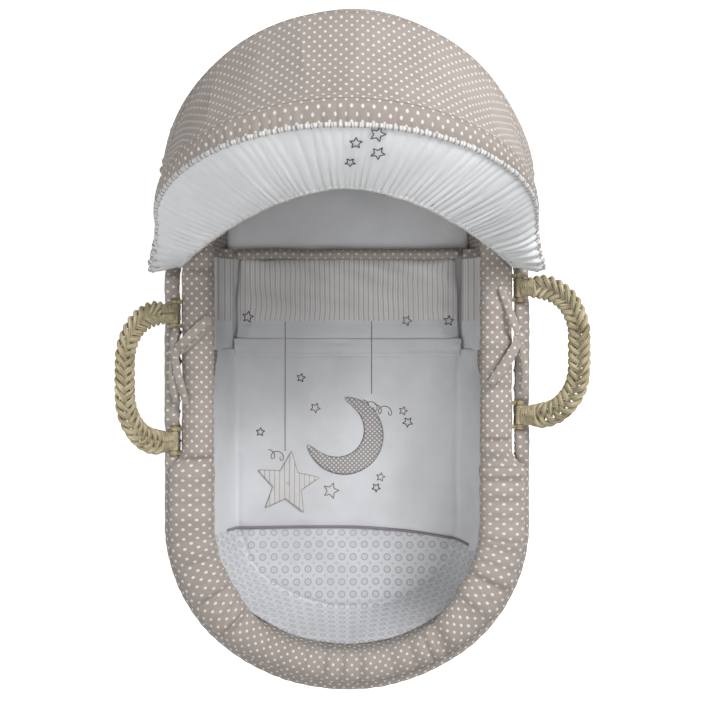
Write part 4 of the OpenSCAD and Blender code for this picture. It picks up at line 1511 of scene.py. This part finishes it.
@dataclass
class Stitching:
    """Embroidery and appliques on the coverlet: strings, small stars, a dotted moon and a striped star.

    Attributes:
        targets: the coverlet's pieces that carry them.
        joint_y: line across at which the coverlet turns back; not used.
        thread: radius of a line of stitching.
    """

    targets: list[bpy.types.Object]
    joint_y: float
    thread: float = 0.55 * MM

    def line(self, name: str, places: Array, dash: float = 0.0, radius: float = 0.0) -> bpy.types.Object:
        """Line of stitching laid on the coverlet; with a dash length it dips between its stitches."""
        way = np.concatenate([[0], np.cumsum(np.linalg.norm(np.diff(places, axis=0), axis=1))])
        dip = np.sin(math.tau * way / dash) * 1.1 * self.thread if dash else 0 * way
        path = lay_on(places, self.targets) + np.stack([0 * way, 0 * way, dip + 0.25 * MM], -1)
        return band(name, path, (0, 0, 1), ring(radius or self.thread, 6))

    @staticmethod
    def star(centre: tuple[float, float], size: float, turn: float = 0.0, n: int = 60) -> Array:
        """Outline of a five-pointed star: straight runs between ten corners, far and near in turn."""
        corner = np.arange(11)
        r = np.where(corner % 2 == 0, size, 0.46 * size)
        a = corner * math.tau / 10 + turn
        t = np.linspace(0, 10, n + 1)
        return np.stack([centre[0] + np.interp(t, corner, r * np.sin(a)),
                         centre[1] + np.interp(t, corner, r * np.cos(a))], -1)

    def filled(self, name: str, grid: Array) -> bpy.types.Object:
        """Applique: a grid of places laid on the coverlet as thin felt, puffed a little in its middle."""
        points = lay_on(grid, self.targets)
        v = np.linspace(0, 1, grid.shape[1])[None, :]
        points[..., 2] += 0.9 * MM + 0.9 * MM * np.sin(math.pi * v) ** 0.5
        obj = shell(name, points, 0.8 * MM, grid)
        return obj

    def moon(self) -> list[bpy.types.Object]:
        """Crescent moon: the space between two arcs that meet at its tips, outlined in dark thread."""
        t = np.linspace(-1, 1, 60)[:, None]
        outer_r, turn = 51 * MM, math.radians(-38)
        a = t * math.radians(128)
        outer = np.stack([outer_r * np.cos(a), outer_r * np.sin(a)], -1)
        thick = 27 * MM * np.cos(t * math.pi / 2) ** 0.62
        inner = outer * (1 - thick[..., None] / outer_r)
        v = np.linspace(0, 1, 12)[None, :, None]
        grid = outer * (1 - v) + inner * v
        spin = np.array([[math.cos(turn), -math.sin(turn)], [math.sin(turn), math.cos(turn)]])
        grid = grid @ spin.T + np.array([-4 * MM, -108 * MM])
        body = dress(self.filled("moon_felt", grid), GREY_DOTS)
        rim = np.concatenate([grid[:, 0], grid[::-1, -1], grid[:1, 0]])
        edge = dress(self.line("moon_edge", rim, radius=0.8 * MM), THREAD_DARK)
        return [body, edge]

    def big_star(self) -> list[bpy.types.Object]:
        """Striped star applique with a stitched outline."""
        centre = (-80 * MM, -172 * MM)
        outline = self.star(centre, 43 * MM, 0.12, 100)
        ray = np.linspace(0.02, 1, 12)[None, :, None]
        grid = np.array(centre) + (outline[:, None] - np.array(centre)) * ray
        body = dress(self.filled("star_felt", grid), STRIPED)
        edge = dress(self.line("star_edge", outline, radius=0.75 * MM), THREAD_BROWN)
        return [body, edge]

    def small_stars(self, places: Sequence[tuple[float, float, float, float]], name: str) -> bpy.types.Object:
        """Several small outlined stars as one piece, each with its place, size and turn."""
        made = []
        for number, (x, y, size, turn) in enumerate(places):
            obj = self.line(f"{name}_{number}", self.star((x * MM, y * MM), size * MM, turn, 40))
            made.append(dress(obj, THREAD_DARK if number % 2 == 0 else THREAD_BROWN))
        return joined(name, made)

    def strings(self) -> bpy.types.Object:
        """Two dashed strings from the seam to the star and the moon, with a small curl at each end."""
        made = []
        for number, (x, low) in enumerate(((-83 * MM, -128 * MM), (32 * MM, -52 * MM))):
            y = np.linspace(44 * MM, low, 150)
            made.append(self.line(f"string_{number}", np.stack([x + 0 * y, y], -1), 5 * MM))
        curls = ((-95, -132, 13), (30, -66, 12), (48, -72, 15), (-14, -150, 9))
        for number, (x, y, size) in enumerate(curls):
            a = np.linspace(0, 1, 70)
            curl = np.stack([x * MM + size * MM * (a * 1.6 - 0.8) + 5 * MM * np.sin(a * 11),
                             y * MM + 5.5 * MM * np.cos(a * 11) - 4 * MM * a], -1)
            made.append(self.line(f"curl_{number}", curl))
        return dress(joined("hanging_strings", made), THREAD_BROWN)

    def build(self) -> None:
        """Makes the stitching and puts it on the two parts of the coverlet."""
        low = [*self.moon(), *self.big_star(), self.small_stars(
            ((-62, -31, 6, 0.2), (-43, -71, 7, 0.5), (-116, -103, 6, 0.1), (74, -75, 6, 0.3),
             (80, -90, 7, 0.7), (44, -163, 6, 0.2), (38, -177, 6, 0.6), (-22, -181, 11, 0.3)),
            "small_stars")]
        high = self.small_stars(((-133, 50, 8, 0.2), (79, 45, 7, 0.4), (135, 45, 7, 0.1)), "seam_stars")
        for obj in low:
            report(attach(obj, "basket"))
        report(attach(high, "coverlet_turn"))
        report(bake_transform(self.strings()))


# ---------------------------------------------------------------- hood

REAR_ANGLE, FRONT_ANGLE = 26.0, 60.0
REAR_X, FRONT_X = 207.2 * MM, 215.6 * MM
HOOP_R = 297 * MM
OVER = 5.5 * MM             # cloth line outside the middle of a hoop's rod


@dataclass
class Hood:
    """Folding hood: back and top of dotted cotton over two hoops, front strip, piping and gathered frill.

    Attributes:
        steps: steps along the hoops.
        hem: oval that the back's hem follows.
    """

    steps: int = 420
    hem: Oval = Oval(226 * MM, 411 * MM)
    rear: Arch = Arch(REAR_X + OVER, HOOP_R + OVER, REAR_ANGLE + 0.4, 16 * MM)
    rear_high: Arch = Arch(REAR_X + OVER, HOOP_R + OVER, REAR_ANGLE, 50 * MM)
    front: Arch = Arch(FRONT_X + OVER, HOOP_R + OVER, FRONT_ANGLE, 16 * MM)
    strip: Arch = Arch(FRONT_X + OVER + 1 * MM, HOOP_R - 9 * MM, FRONT_ANGLE + 4.4, 10 * MM)

    @property
    def t(self) -> Array:
        """Even shares along the hoops."""
        return np.linspace(0, 1, self.steps + 1)

    def corner(self, strength: float) -> Array:
        """Push at both ends of the front lines, where the cloth bunches outwards and towards the foot end."""
        near = np.exp(-(np.minimum(self.t, 1 - self.t) / 0.055) ** 2)[:, None]
        side = np.sign(self.t - 0.5)[:, None]
        wave = 1 + 0.35 * np.sin(self.t * 420)[:, None]
        push = np.concatenate([side * 13 * MM * wave, -20 * MM + 0 * side, 12 * MM * wave], 1)
        return near * strength * push

    def lace_line(self) -> Array:
        """Elastic edge of the frill: drawn tighter than a hoop, it rises as a power of the share across."""
        u = 2 * self.t - 1
        side = np.sign(u) * np.abs(u) ** 0.94
        return np.stack([204 * MM * side, 107 * MM + 77 * MM * (1 - np.abs(side) ** 1.65),
                         252 * MM + 178 * MM * (1 - np.abs(side) ** 2.3)], -1)

    def hem_line(self) -> Array:
        """Hem of the back, from its left end round the head end, lifted at both ends."""
        reach = self.hem.length / 4 - 166 * MM
        s = (2 * self.t - 1) * reach
        p = self.hem.at(s)[0]
        lift = 18 * MM * ease(0.6 * reach, reach, np.abs(s))
        p = p + np.stack([0 * s, 10 * MM * np.exp(-(p[:, 0] / (85 * MM)) ** 2)], -1)
        return np.concatenate([p, (212 * MM + lift)[:, None]], 1)

    def sheet_between(self, a: Array, b: Array, n: int, lift: float,
                      folds: Callable[[Array, Array], Array]) -> Array:
        """Cloth between two lines: straight rulings, bowed by lift, with folds added along the normals.

        Args:
            a: first line, of shape (k, 3).
            b: second line.
            n: steps between them.
            lift: how far the middle bows outwards.
            folds: height of the folds over (distance along, share across).
        Returns:
            Grid of shape (k, n + 1, 3).
        """
        v = np.linspace(0, 1, n + 1)[None, :, None]
        points = a[:, None] * (1 - v) + b[:, None] * v
        away = unit(points - np.array([0, PIVOT[0] + 60 * MM, PIVOT[1] - 40 * MM]))
        way = np.concatenate([[0], np.cumsum(np.linalg.norm(np.diff(a, axis=0), axis=1))])
        height = lift * 4 * v[..., 0] * (1 - v[..., 0]) + folds(way[:, None], v[..., 0])
        return points + away * height[..., None]

    def back(self) -> bpy.types.Object:
        """Back of the hood, gathered along the hem with a small ruffle below its elastic."""
        def folds(s: Array, v: Array) -> Array:
            """Gathers that fade up the cloth, a nipped line above the ruffle, and a few long soft folds."""
            pull = (gathers(s, 91, 15 * MM) - 0.5) * ease(0, 60 * MM, np.minimum(s, s.max() - s))
            return (pull * 5.5 * MM * ease(0.55, 0.0, v) + 3 * MM * np.exp(-((v - 0.02) / 0.03) ** 2)
                    - 3.2 * MM * np.exp(-((v - 0.07) / 0.03) ** 2)
                    + ripple(s, v * 0.1, 92, 0.16) * 2.2 * MM * np.sin(math.pi * v)
                    + 1.6 * MM * ease(0.93, 1.0, v))
        points = self.sheet_between(self.hem_line(), self.rear_high.at(self.t), 40, 5 * MM, folds)
        return dress(shell("hood_back", points, -1.2 * MM), DOTTED)

    def top(self) -> bpy.types.Object:
        """Top of the hood: it sags between the hoops, with a ridge over each hoop and upright folds."""
        def folds(s: Array, v: Array) -> Array:
            """Soft folds across the ruling, and stitched channels beside the hoops."""
            mid = np.sin(math.pi * np.clip(v, 0, 1))
            crease = -np.abs(ripple(s, v * 0.06, 95, 0.085, 5)) ** 0.7 * 3.4 * MM * mid
            ridge = 1.8 * MM * (ease(0.035, 0.0, v) + ease(0.955, 0.99, v))
            groove = -1.0 * MM * (np.exp(-((v - 0.07) / 0.02) ** 2) + np.exp(-((v - 0.925) / 0.02) ** 2))
            return crease + ridge + groove + ripple(s, v * 0.25, 96, 0.2) * 1.6 * MM * mid
        b = self.front.at(self.t) + self.corner(0.35)
        points = self.sheet_between(self.rear.at(self.t), b, 46, -1 * MM, folds)
        return dress(shell("hood_top", points, -1.2 * MM), DOTTED)

    def front_strip(self) -> bpy.types.Object:
        """Dotted strip from the front hoop to the piping, gathered a little along the piping."""
        def folds(s: Array, v: Array) -> Array:
            """Small gathers that grow towards the piping, and a ridge over the hoop."""
            return (gathers(s, 97, 13 * MM) - 0.5) * 3.0 * MM * v + 1.8 * MM * ease(0.15, 0.0, v)
        a = self.front.at(self.t) + self.corner(0.35)
        b = self.strip.at(self.t) + self.corner(1.0)
        return dress(shell("hood_front_strip", self.sheet_between(a, b, 14, 3 * MM, folds), -1.2 * MM),
                     DOTTED)

    def frill_points(self) -> Array:
        """Grid of the frill: from the piping to the elastic, with gathers that deepen towards the elastic."""
        def folds(s: Array, v: Array) -> Array:
            """Deep gathers at the elastic, shallow ones at the piping, over a bowed cloth."""
            deep = (gathers(s, 101, 12 * MM) - 0.5) * 7.0 * MM * ease(0.25, 1.0, v)
            fine = (gathers(s, 104, 7 * MM) - 0.5) * 2.4 * MM * ease(0.7, 1.0, v)
            return deep + fine + (gathers(s, 97, 13 * MM) - 0.5) * 3.0 * MM * (1 - v)
        a = self.strip.at(self.t) + self.corner(1.0)
        return self.sheet_between(a, self.lace_line(), 30, 9 * MM, folds)

    def trim(self, points: Array) -> list[bpy.types.Object]:
        """Striped piping on the frill's first line, scalloped by its gathers, and elastic on its last."""
        piping = band("visor_piping_cord", points[:, 0] + np.array([0, 0, 1.5 * MM]), (0, -0.6, 0.8),
                      ring(3.1 * MM, 10))
        edge = band("frill_elastic_edge", points[:, -1], (0, -0.3, 0.95), ring(3.0 * MM, 8, 0.75))
        return [dress(piping, STRIPED_PIPING), dress(edge, ELASTIC)]

    def frill_stars(self, points: Array) -> bpy.types.Object:
        """Small outlined stars stitched on the frill near its middle."""
        made = []
        for number, (along, across, size) in enumerate(((0.515, 0.30, 7), (0.545, 0.16, 9), (0.552, 0.46, 8),
                                                        (0.508, 0.62, 6))):
            outline = Stitching.star((0, 0), size * MM, 0.2 * number, 40)
            i = int(along * self.steps)
            j = int(across * 30)
            across_way = unit(points[i + 3, j] - points[i - 3, j])
            down_way = unit(points[i, j + 2] - points[i, j - 2])
            out = unit(np.cross(across_way, down_way))
            out = out * np.sign(out[2])
            path = points[i, j] + outline[:, :1] * across_way - outline[:, 1:] * down_way + out * 3.2 * MM
            star = band(f"frill_star_{number}", path, out, ring(0.55 * MM, 6))
            made.append(dress(star, THREAD_DARK))
        return joined("frill_stars", made)

    def build(self) -> None:
        back, top, strip = self.back(), self.top(), self.front_strip()
        points = self.frill_points()
        frill = dress(shell("hood_frill", points, -1.0 * MM), WHITE_FRILL)
        piping, elastic = self.trim(points)
        stars = self.frill_stars(points)
        report(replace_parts(back, "canopy_back"))
        report(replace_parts(top, "canopy_top"))
        crown = np.array([0.5])
        lines = self.rear.at(crown), self.front.at(crown), self.hem_line()[[210]]
        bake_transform(back)
        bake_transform(top)
        pieces = {"visor_strip": strip, "frill": frill, "visor_piping": piping, "frill_elastic": elastic}
        for node, obj in pieces.items():
            report(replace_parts(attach(obj, "hood_front"), node))
        report(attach(stars, "hood_front"))
        for node in ("rear_hoop", "front_hoop", "pivot_pin_left", "pivot_pin_right"):
            refinish(node, STEEL)
        for node in ("rear_hoop_feet", "front_hoop_feet", "hood_bracket_left", "hood_bracket_right"):
            refinish(node, PLASTIC)


# ---------------------------------------------------------------- handles and ties

class Side(Enum):
    """Sides of the basket, seen with the hood away from the viewer."""

    LEFT = -1
    RIGHT = 1


@dataclass
class Handle:
    """Flat open plait of palm bent to a carrying handle on two pins.

    Attributes:
        side: side of the basket.
        half_span: half distance between the roots.
        leg: length of the straight root.
        bend: radius of the corners.
        strands: number of strands in the plait.
    """

    side: Side
    half_span: float = 78 * MM
    leg: float = 26 * MM
    bend: float = 60 * MM
    strands: int = 5

    @property
    def angle(self) -> float:
        """Rest angle above level."""
        return math.radians(55 if self.side is Side.LEFT else 42)

    @property
    def middle(self) -> Array:
        """Point between the two roots."""
        y = -28 * MM if self.side is Side.LEFT else 4 * MM
        return np.array([self.side.value * 212.5 * MM, y, 232 * MM])

    def route(self, s: Array) -> tuple[Array, Array]:
        """Centre line (along the basket, up the handle) and its outward side, at distances s from one root.

        Half the line is a leg, a quarter circle and half of the grip, and the other half mirrors it.
        """
        total = 2 * (self.leg + self.bend * math.pi / 2 + self.half_span - self.bend)
        half = np.minimum(s, total - s)
        a = np.clip((half - self.leg) / self.bend, 0, math.pi / 2)
        top = np.clip(half - self.leg - self.bend * math.pi / 2, 0, None)
        y = -self.half_span + self.bend * (1 - np.cos(a)) + top
        up = np.minimum(half, self.leg) + self.bend * np.sin(a)
        sign = np.where(s <= total / 2, 1.0, -1.0)
        return np.stack([y * sign, up], -1), np.stack([-np.cos(a) * sign, np.sin(a)], -1)

    def stand(self, p: Array, off: Array) -> Array:
        """Flat points (along, up) with an offset at right angles to the handle's plane, in the frame."""
        c, n, s = math.cos(self.angle), math.sin(self.angle), self.side.value
        return self.middle + np.stack([s * (p[..., 1] * c - off * n), p[..., 0], p[..., 1] * n + off * c], -1)

    def plait(self) -> list[bpy.types.Object]:
        """Strands of a flat plait: each swings from side to side as a sine and over and under as a sine
        of twice that, a fifth of a turn apart, and draws in at both roots."""
        total = 2 * (self.leg + self.bend * math.pi / 2 + self.half_span - self.bend)
        s = np.linspace(4 * MM, total - 4 * MM, 230)
        line, out = self.route(s)
        draw = 0.55 + 0.45 * ease(0, 34 * MM, np.minimum(s, total - s))
        made = []
        for k in range(self.strands):
            theta = math.tau * (s / (50 * MM) + k / self.strands)
            wide = 12.2 * MM * np.sin(theta) * draw
            off = 3.4 * MM * np.sin(2 * theta)
            path = self.stand(line + out * wide[:, None], off)
            lift = np.array([-self.side.value * math.sin(self.angle), 0, math.cos(self.angle)])
            swell = 1 + 0.08 * np.sin(s / (1.7 * MM) + k)
            made.append(band(f"strand_{k}", path, lift, ring(3.5 * MM, 10, 0.62), swell))
        return made

    def windings(self) -> list[bpy.types.Object]:
        """Palm wound round each root, and the eye that it makes round the pin."""
        made = []
        for sign in (-1, 1):
            turns = np.linspace(0, 6.5, 150)
            a = turns * math.tau
            flat = np.stack([sign * self.half_span + 9.5 * MM * np.cos(a), 6 * MM + 3.1 * MM * turns], -1)
            lift = np.array([0.0, 1.0, 0.0])
            path = self.stand(flat, 5.6 * MM * np.sin(a))
            made.append(band(f"winding_{sign}", path, lift, ring(1.7 * MM, 7)))
            along = np.linspace(-11.5 * MM, 11.5 * MM, 32)
            centre = self.middle + np.array([0, sign * self.half_span, 0])
            path = centre + along[:, None] * np.array([0, 1, 0])
            swell = 1 + 0.10 * np.cos(along / (3 * MM) * math.tau)
            made.append(band(f"eye_{sign}", path, (0, 0, 1), ring(5.6 * MM, 16), swell))
        return made

    def build(self) -> None:
        """Makes the handle, puts it on its body and finishes its anchors and pins."""
        name = self.side.name.lower()
        obj = joined(f"handle_plait_{name}", [*self.plait(), *self.windings()])
        dress(obj, PALM)
        report(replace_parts(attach(obj, f"handle_{name}"), f"handle_{name}"))
        refinish(f"handle_anchor_{name}", ANCHOR_PALM)
        refinish(f"handle_pin_{name}", DOWEL)


@dataclass
class Tie:
    """Dotted cotton tie knotted round the handle's middle on the roll, with a loop and two tails.

    Attributes:
        side: side of the basket.
        width: width of the folded tie; not used.
    """

    side: Side
    width: float = 12 * MM

    def ribbon(self, name: str, knots: Sequence[Sequence[float]], width: float) -> bpy.types.Object:
        """Flat folded cloth along a curve: a thin lens-shaped outline, narrower at its ends, a bit twisted."""
        path = smooth_path(np.asarray(knots) * MM, 60)
        share = np.linspace(0, 1, 60)
        lens = ring(width / 2, 14, 1.0)
        lens[:, 1] = np.sin(np.linspace(0, math.tau, 14, endpoint=False)) * 1.5 * MM
        up = np.stack([0.25 * np.sin(share * 7), 0.1 * np.cos(share * 5), np.ones(60)], -1)
        return band(name, path, up, lens, 0.72 + 0.28 * np.sin(share * math.pi) ** 0.6)

    def parts(self) -> list[bpy.types.Object]:
        """Knot, loop and tails, listed for each side."""
        if self.side is Side.LEFT:
            runs = (([(-209, 4, 249), (-196, 16, 257), (-178, 34, 257), (-166, 44, 252)], 13),
                    ([(-166, 43, 249), (-180, 24, 251), (-198, 8, 249), (-210, 2, 247)], 11),
                    ([(-209, 0, 250), (-206, -22, 251), (-200, -44, 250), (-196, -60, 246)], 10),
                    ([(-211, 0, 248), (-213, -20, 248), (-212, -42, 247), (-208, -58, 243)], 9),
                    ([(-210, 4, 249), (-211, 14, 249), (-211, 24, 246), (-209, 32, 240)], 10))
            knot = (-210, 2, 248)
        else:
            runs = (([(209, 20, 250), (200, 2, 257), (186, -20, 257), (174, -36, 252)], 13),
                    ([(174, -36, 249), (190, -16, 251), (204, 6, 249), (210, 20, 247)], 11),
                    ([(211, 18, 250), (215, -2, 249), (217, -22, 247), (216, -42, 243)], 9),
                    ([(209, 22, 250), (202, 42, 252), (194, 62, 250), (187, 84, 246)], 10))
            knot = (210, 20, 248)
        made = [self.ribbon(f"tie_run_{number}", run, width * MM) for number, (run, width) in enumerate(runs)]
        y = np.linspace(-8 * MM, 8 * MM, 24)
        path = np.array(knot) * MM + np.stack([0.25 * y, y, 0 * y], -1)
        outline = ring(1.0, 16) * np.array([7.5 * MM, 5.0 * MM])
        bulge = np.sqrt(np.clip(1 - (y / (8.6 * MM)) ** 2, 0.02, 1)) * (1 + 0.07 * np.cos(y / MM * 2.1))
        return [*made, band("tie_knot", path, (0, 0, 1), outline, bulge)]

    def build(self) -> None:
        name = self.side.name.lower()
        obj = dress(joined(f"cotton_tie_{name}", self.parts()), DOTTED)
        report(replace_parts(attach(obj, "basket"), f"tie_{name}"))


# ---------------------------------------------------------------- studio

@dataclass
class Studio:
    """Pale floor, soft lamps, white surroundings and the camera above the basket.

    Attributes:
        above: height of the camera over the floor.
        aside: sideways place of the camera.
        view: angle of view, in degrees.
        tilt: how far the camera looks towards the head, in degrees.
    """

    above: float = 2.05
    aside: float = 8.6 * MM
    ahead: float = 0.0
    view: float = 26.93
    tilt: float = 0.0

    def floor(self) -> bpy.types.Object:
        """Wide floor of slightly domed grid faces, white where the camera and mirrors see it."""
        side = np.linspace(-4, 4, 41)
        x, y = np.meshgrid(side, side, indexing="ij")
        points = np.stack([x, y, -0.6 * MM - 1e-5 * (x ** 2 + y ** 2)], -1)
        obj = surface("floor", points[:, ::-1])
        made, g, shader = new_material("pale floor")
        path = g.node("ShaderNodeLightPath")
        seen = g.math("MAXIMUM", path.outputs["Is Camera Ray"],
                      g.math("MAXIMUM", path.outputs["Is Glossy Ray"], path.outputs["Is Transmission Ray"]))
        shade = g.group(mottle_effect(), Place=g.node("ShaderNodeTexCoord").outputs["Object"], Scale=2.0)
        g.feed(shader.inputs["Base Color"], g.mix(shade, srgb(244, 244, 244), srgb(248, 248, 248)))
        shader.inputs["Roughness"].default_value = 0.9
        shader.inputs["Specular IOR Level"].default_value = 0.1
        g.feed(shader.inputs["Emission Color"], g.mix(seen, (0, 0, 0, 1), (0.62, 0.62, 0.62, 1)))
        shader.inputs["Emission Strength"].default_value = 1.0
        obj.data.materials.append(made)
        obj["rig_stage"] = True
        return obj

    def lamp(self, name: str, place: tuple[float, float, float], size: float, power: float) -> None:
        """Square soft lamp that faces the middle of the basket."""
        data = bpy.data.lights.new(name, "AREA")
        data.shape, data.size, data.energy = "SQUARE", size, power
        obj = bpy.data.objects.new(name, data)
        obj.location = place
        obj.rotation_mode = "QUATERNION"
        obj.rotation_quaternion = (Vector((0, 0, 0.15)) - Vector(place)).to_track_quat("-Z", "Y")
        bpy.context.scene.collection.objects.link(obj)

    def build(self) -> None:
        """Makes floor, lamps, surroundings and camera."""
        self.floor()
        self.lamp("head lamp", (1.2, 1.3, 1.7), 0.8, 44)
        self.lamp("side lamp", (-1.7, -0.6, 1.6), 1.2, 15)
        self.lamp("top lamp", (0.3, -0.5, 2.6), 1.4, 24)
        world = bpy.data.worlds.new("surroundings")
        bpy.context.scene.world = world
        world.use_nodes = True
        g = Graph(world.node_tree)
        back = world.node_tree.nodes["Background"]
        path = g.node("ShaderNodeLightPath")
        seen = g.math("MAXIMUM", path.outputs["Is Camera Ray"],
                      g.math("MAXIMUM", path.outputs["Is Glossy Ray"], path.outputs["Is Transmission Ray"]))
        g.feed(back.inputs["Color"], g.mix(seen, (0.24, 0.24, 0.24, 1), (1, 1, 1, 1)))
        back.inputs["Strength"].default_value = 1.0
        data = bpy.data.cameras.new("camera")
        data.lens_unit = "FOV"
        data.angle = math.radians(self.view)
        camera = bpy.data.objects.new("camera", data)
        camera.location = (self.aside, self.ahead, self.above)
        camera.rotation_euler = (math.radians(self.tilt), 0, 0)
        bpy.context.scene.collection.objects.link(camera)
        bpy.context.scene.camera = camera
        bpy.context.scene.view_settings.view_transform = "Standard"


def corners(box: tuple[Vector, Vector]) -> list[list[float]]:
    """A box's two corners as plain lists."""
    return [list(map(float, corner)) for corner in box]


def main() -> None:
    """Builds the scene piece by piece."""
    logging.basicConfig(level=logging.INFO, format="%(name)s %(message)s")
    Studio().build()
    WickerBasket().build()
    PaddedRim().build()
    Bedding().build()
    Hood().build()
    for side in (Side.LEFT, Side.RIGHT):
        Handle(side).build()
        Tie(side).build()
    {"cad": corners(CAD_BOX), "visual": corners(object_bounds())}


if __name__ == "__main__":
    main()
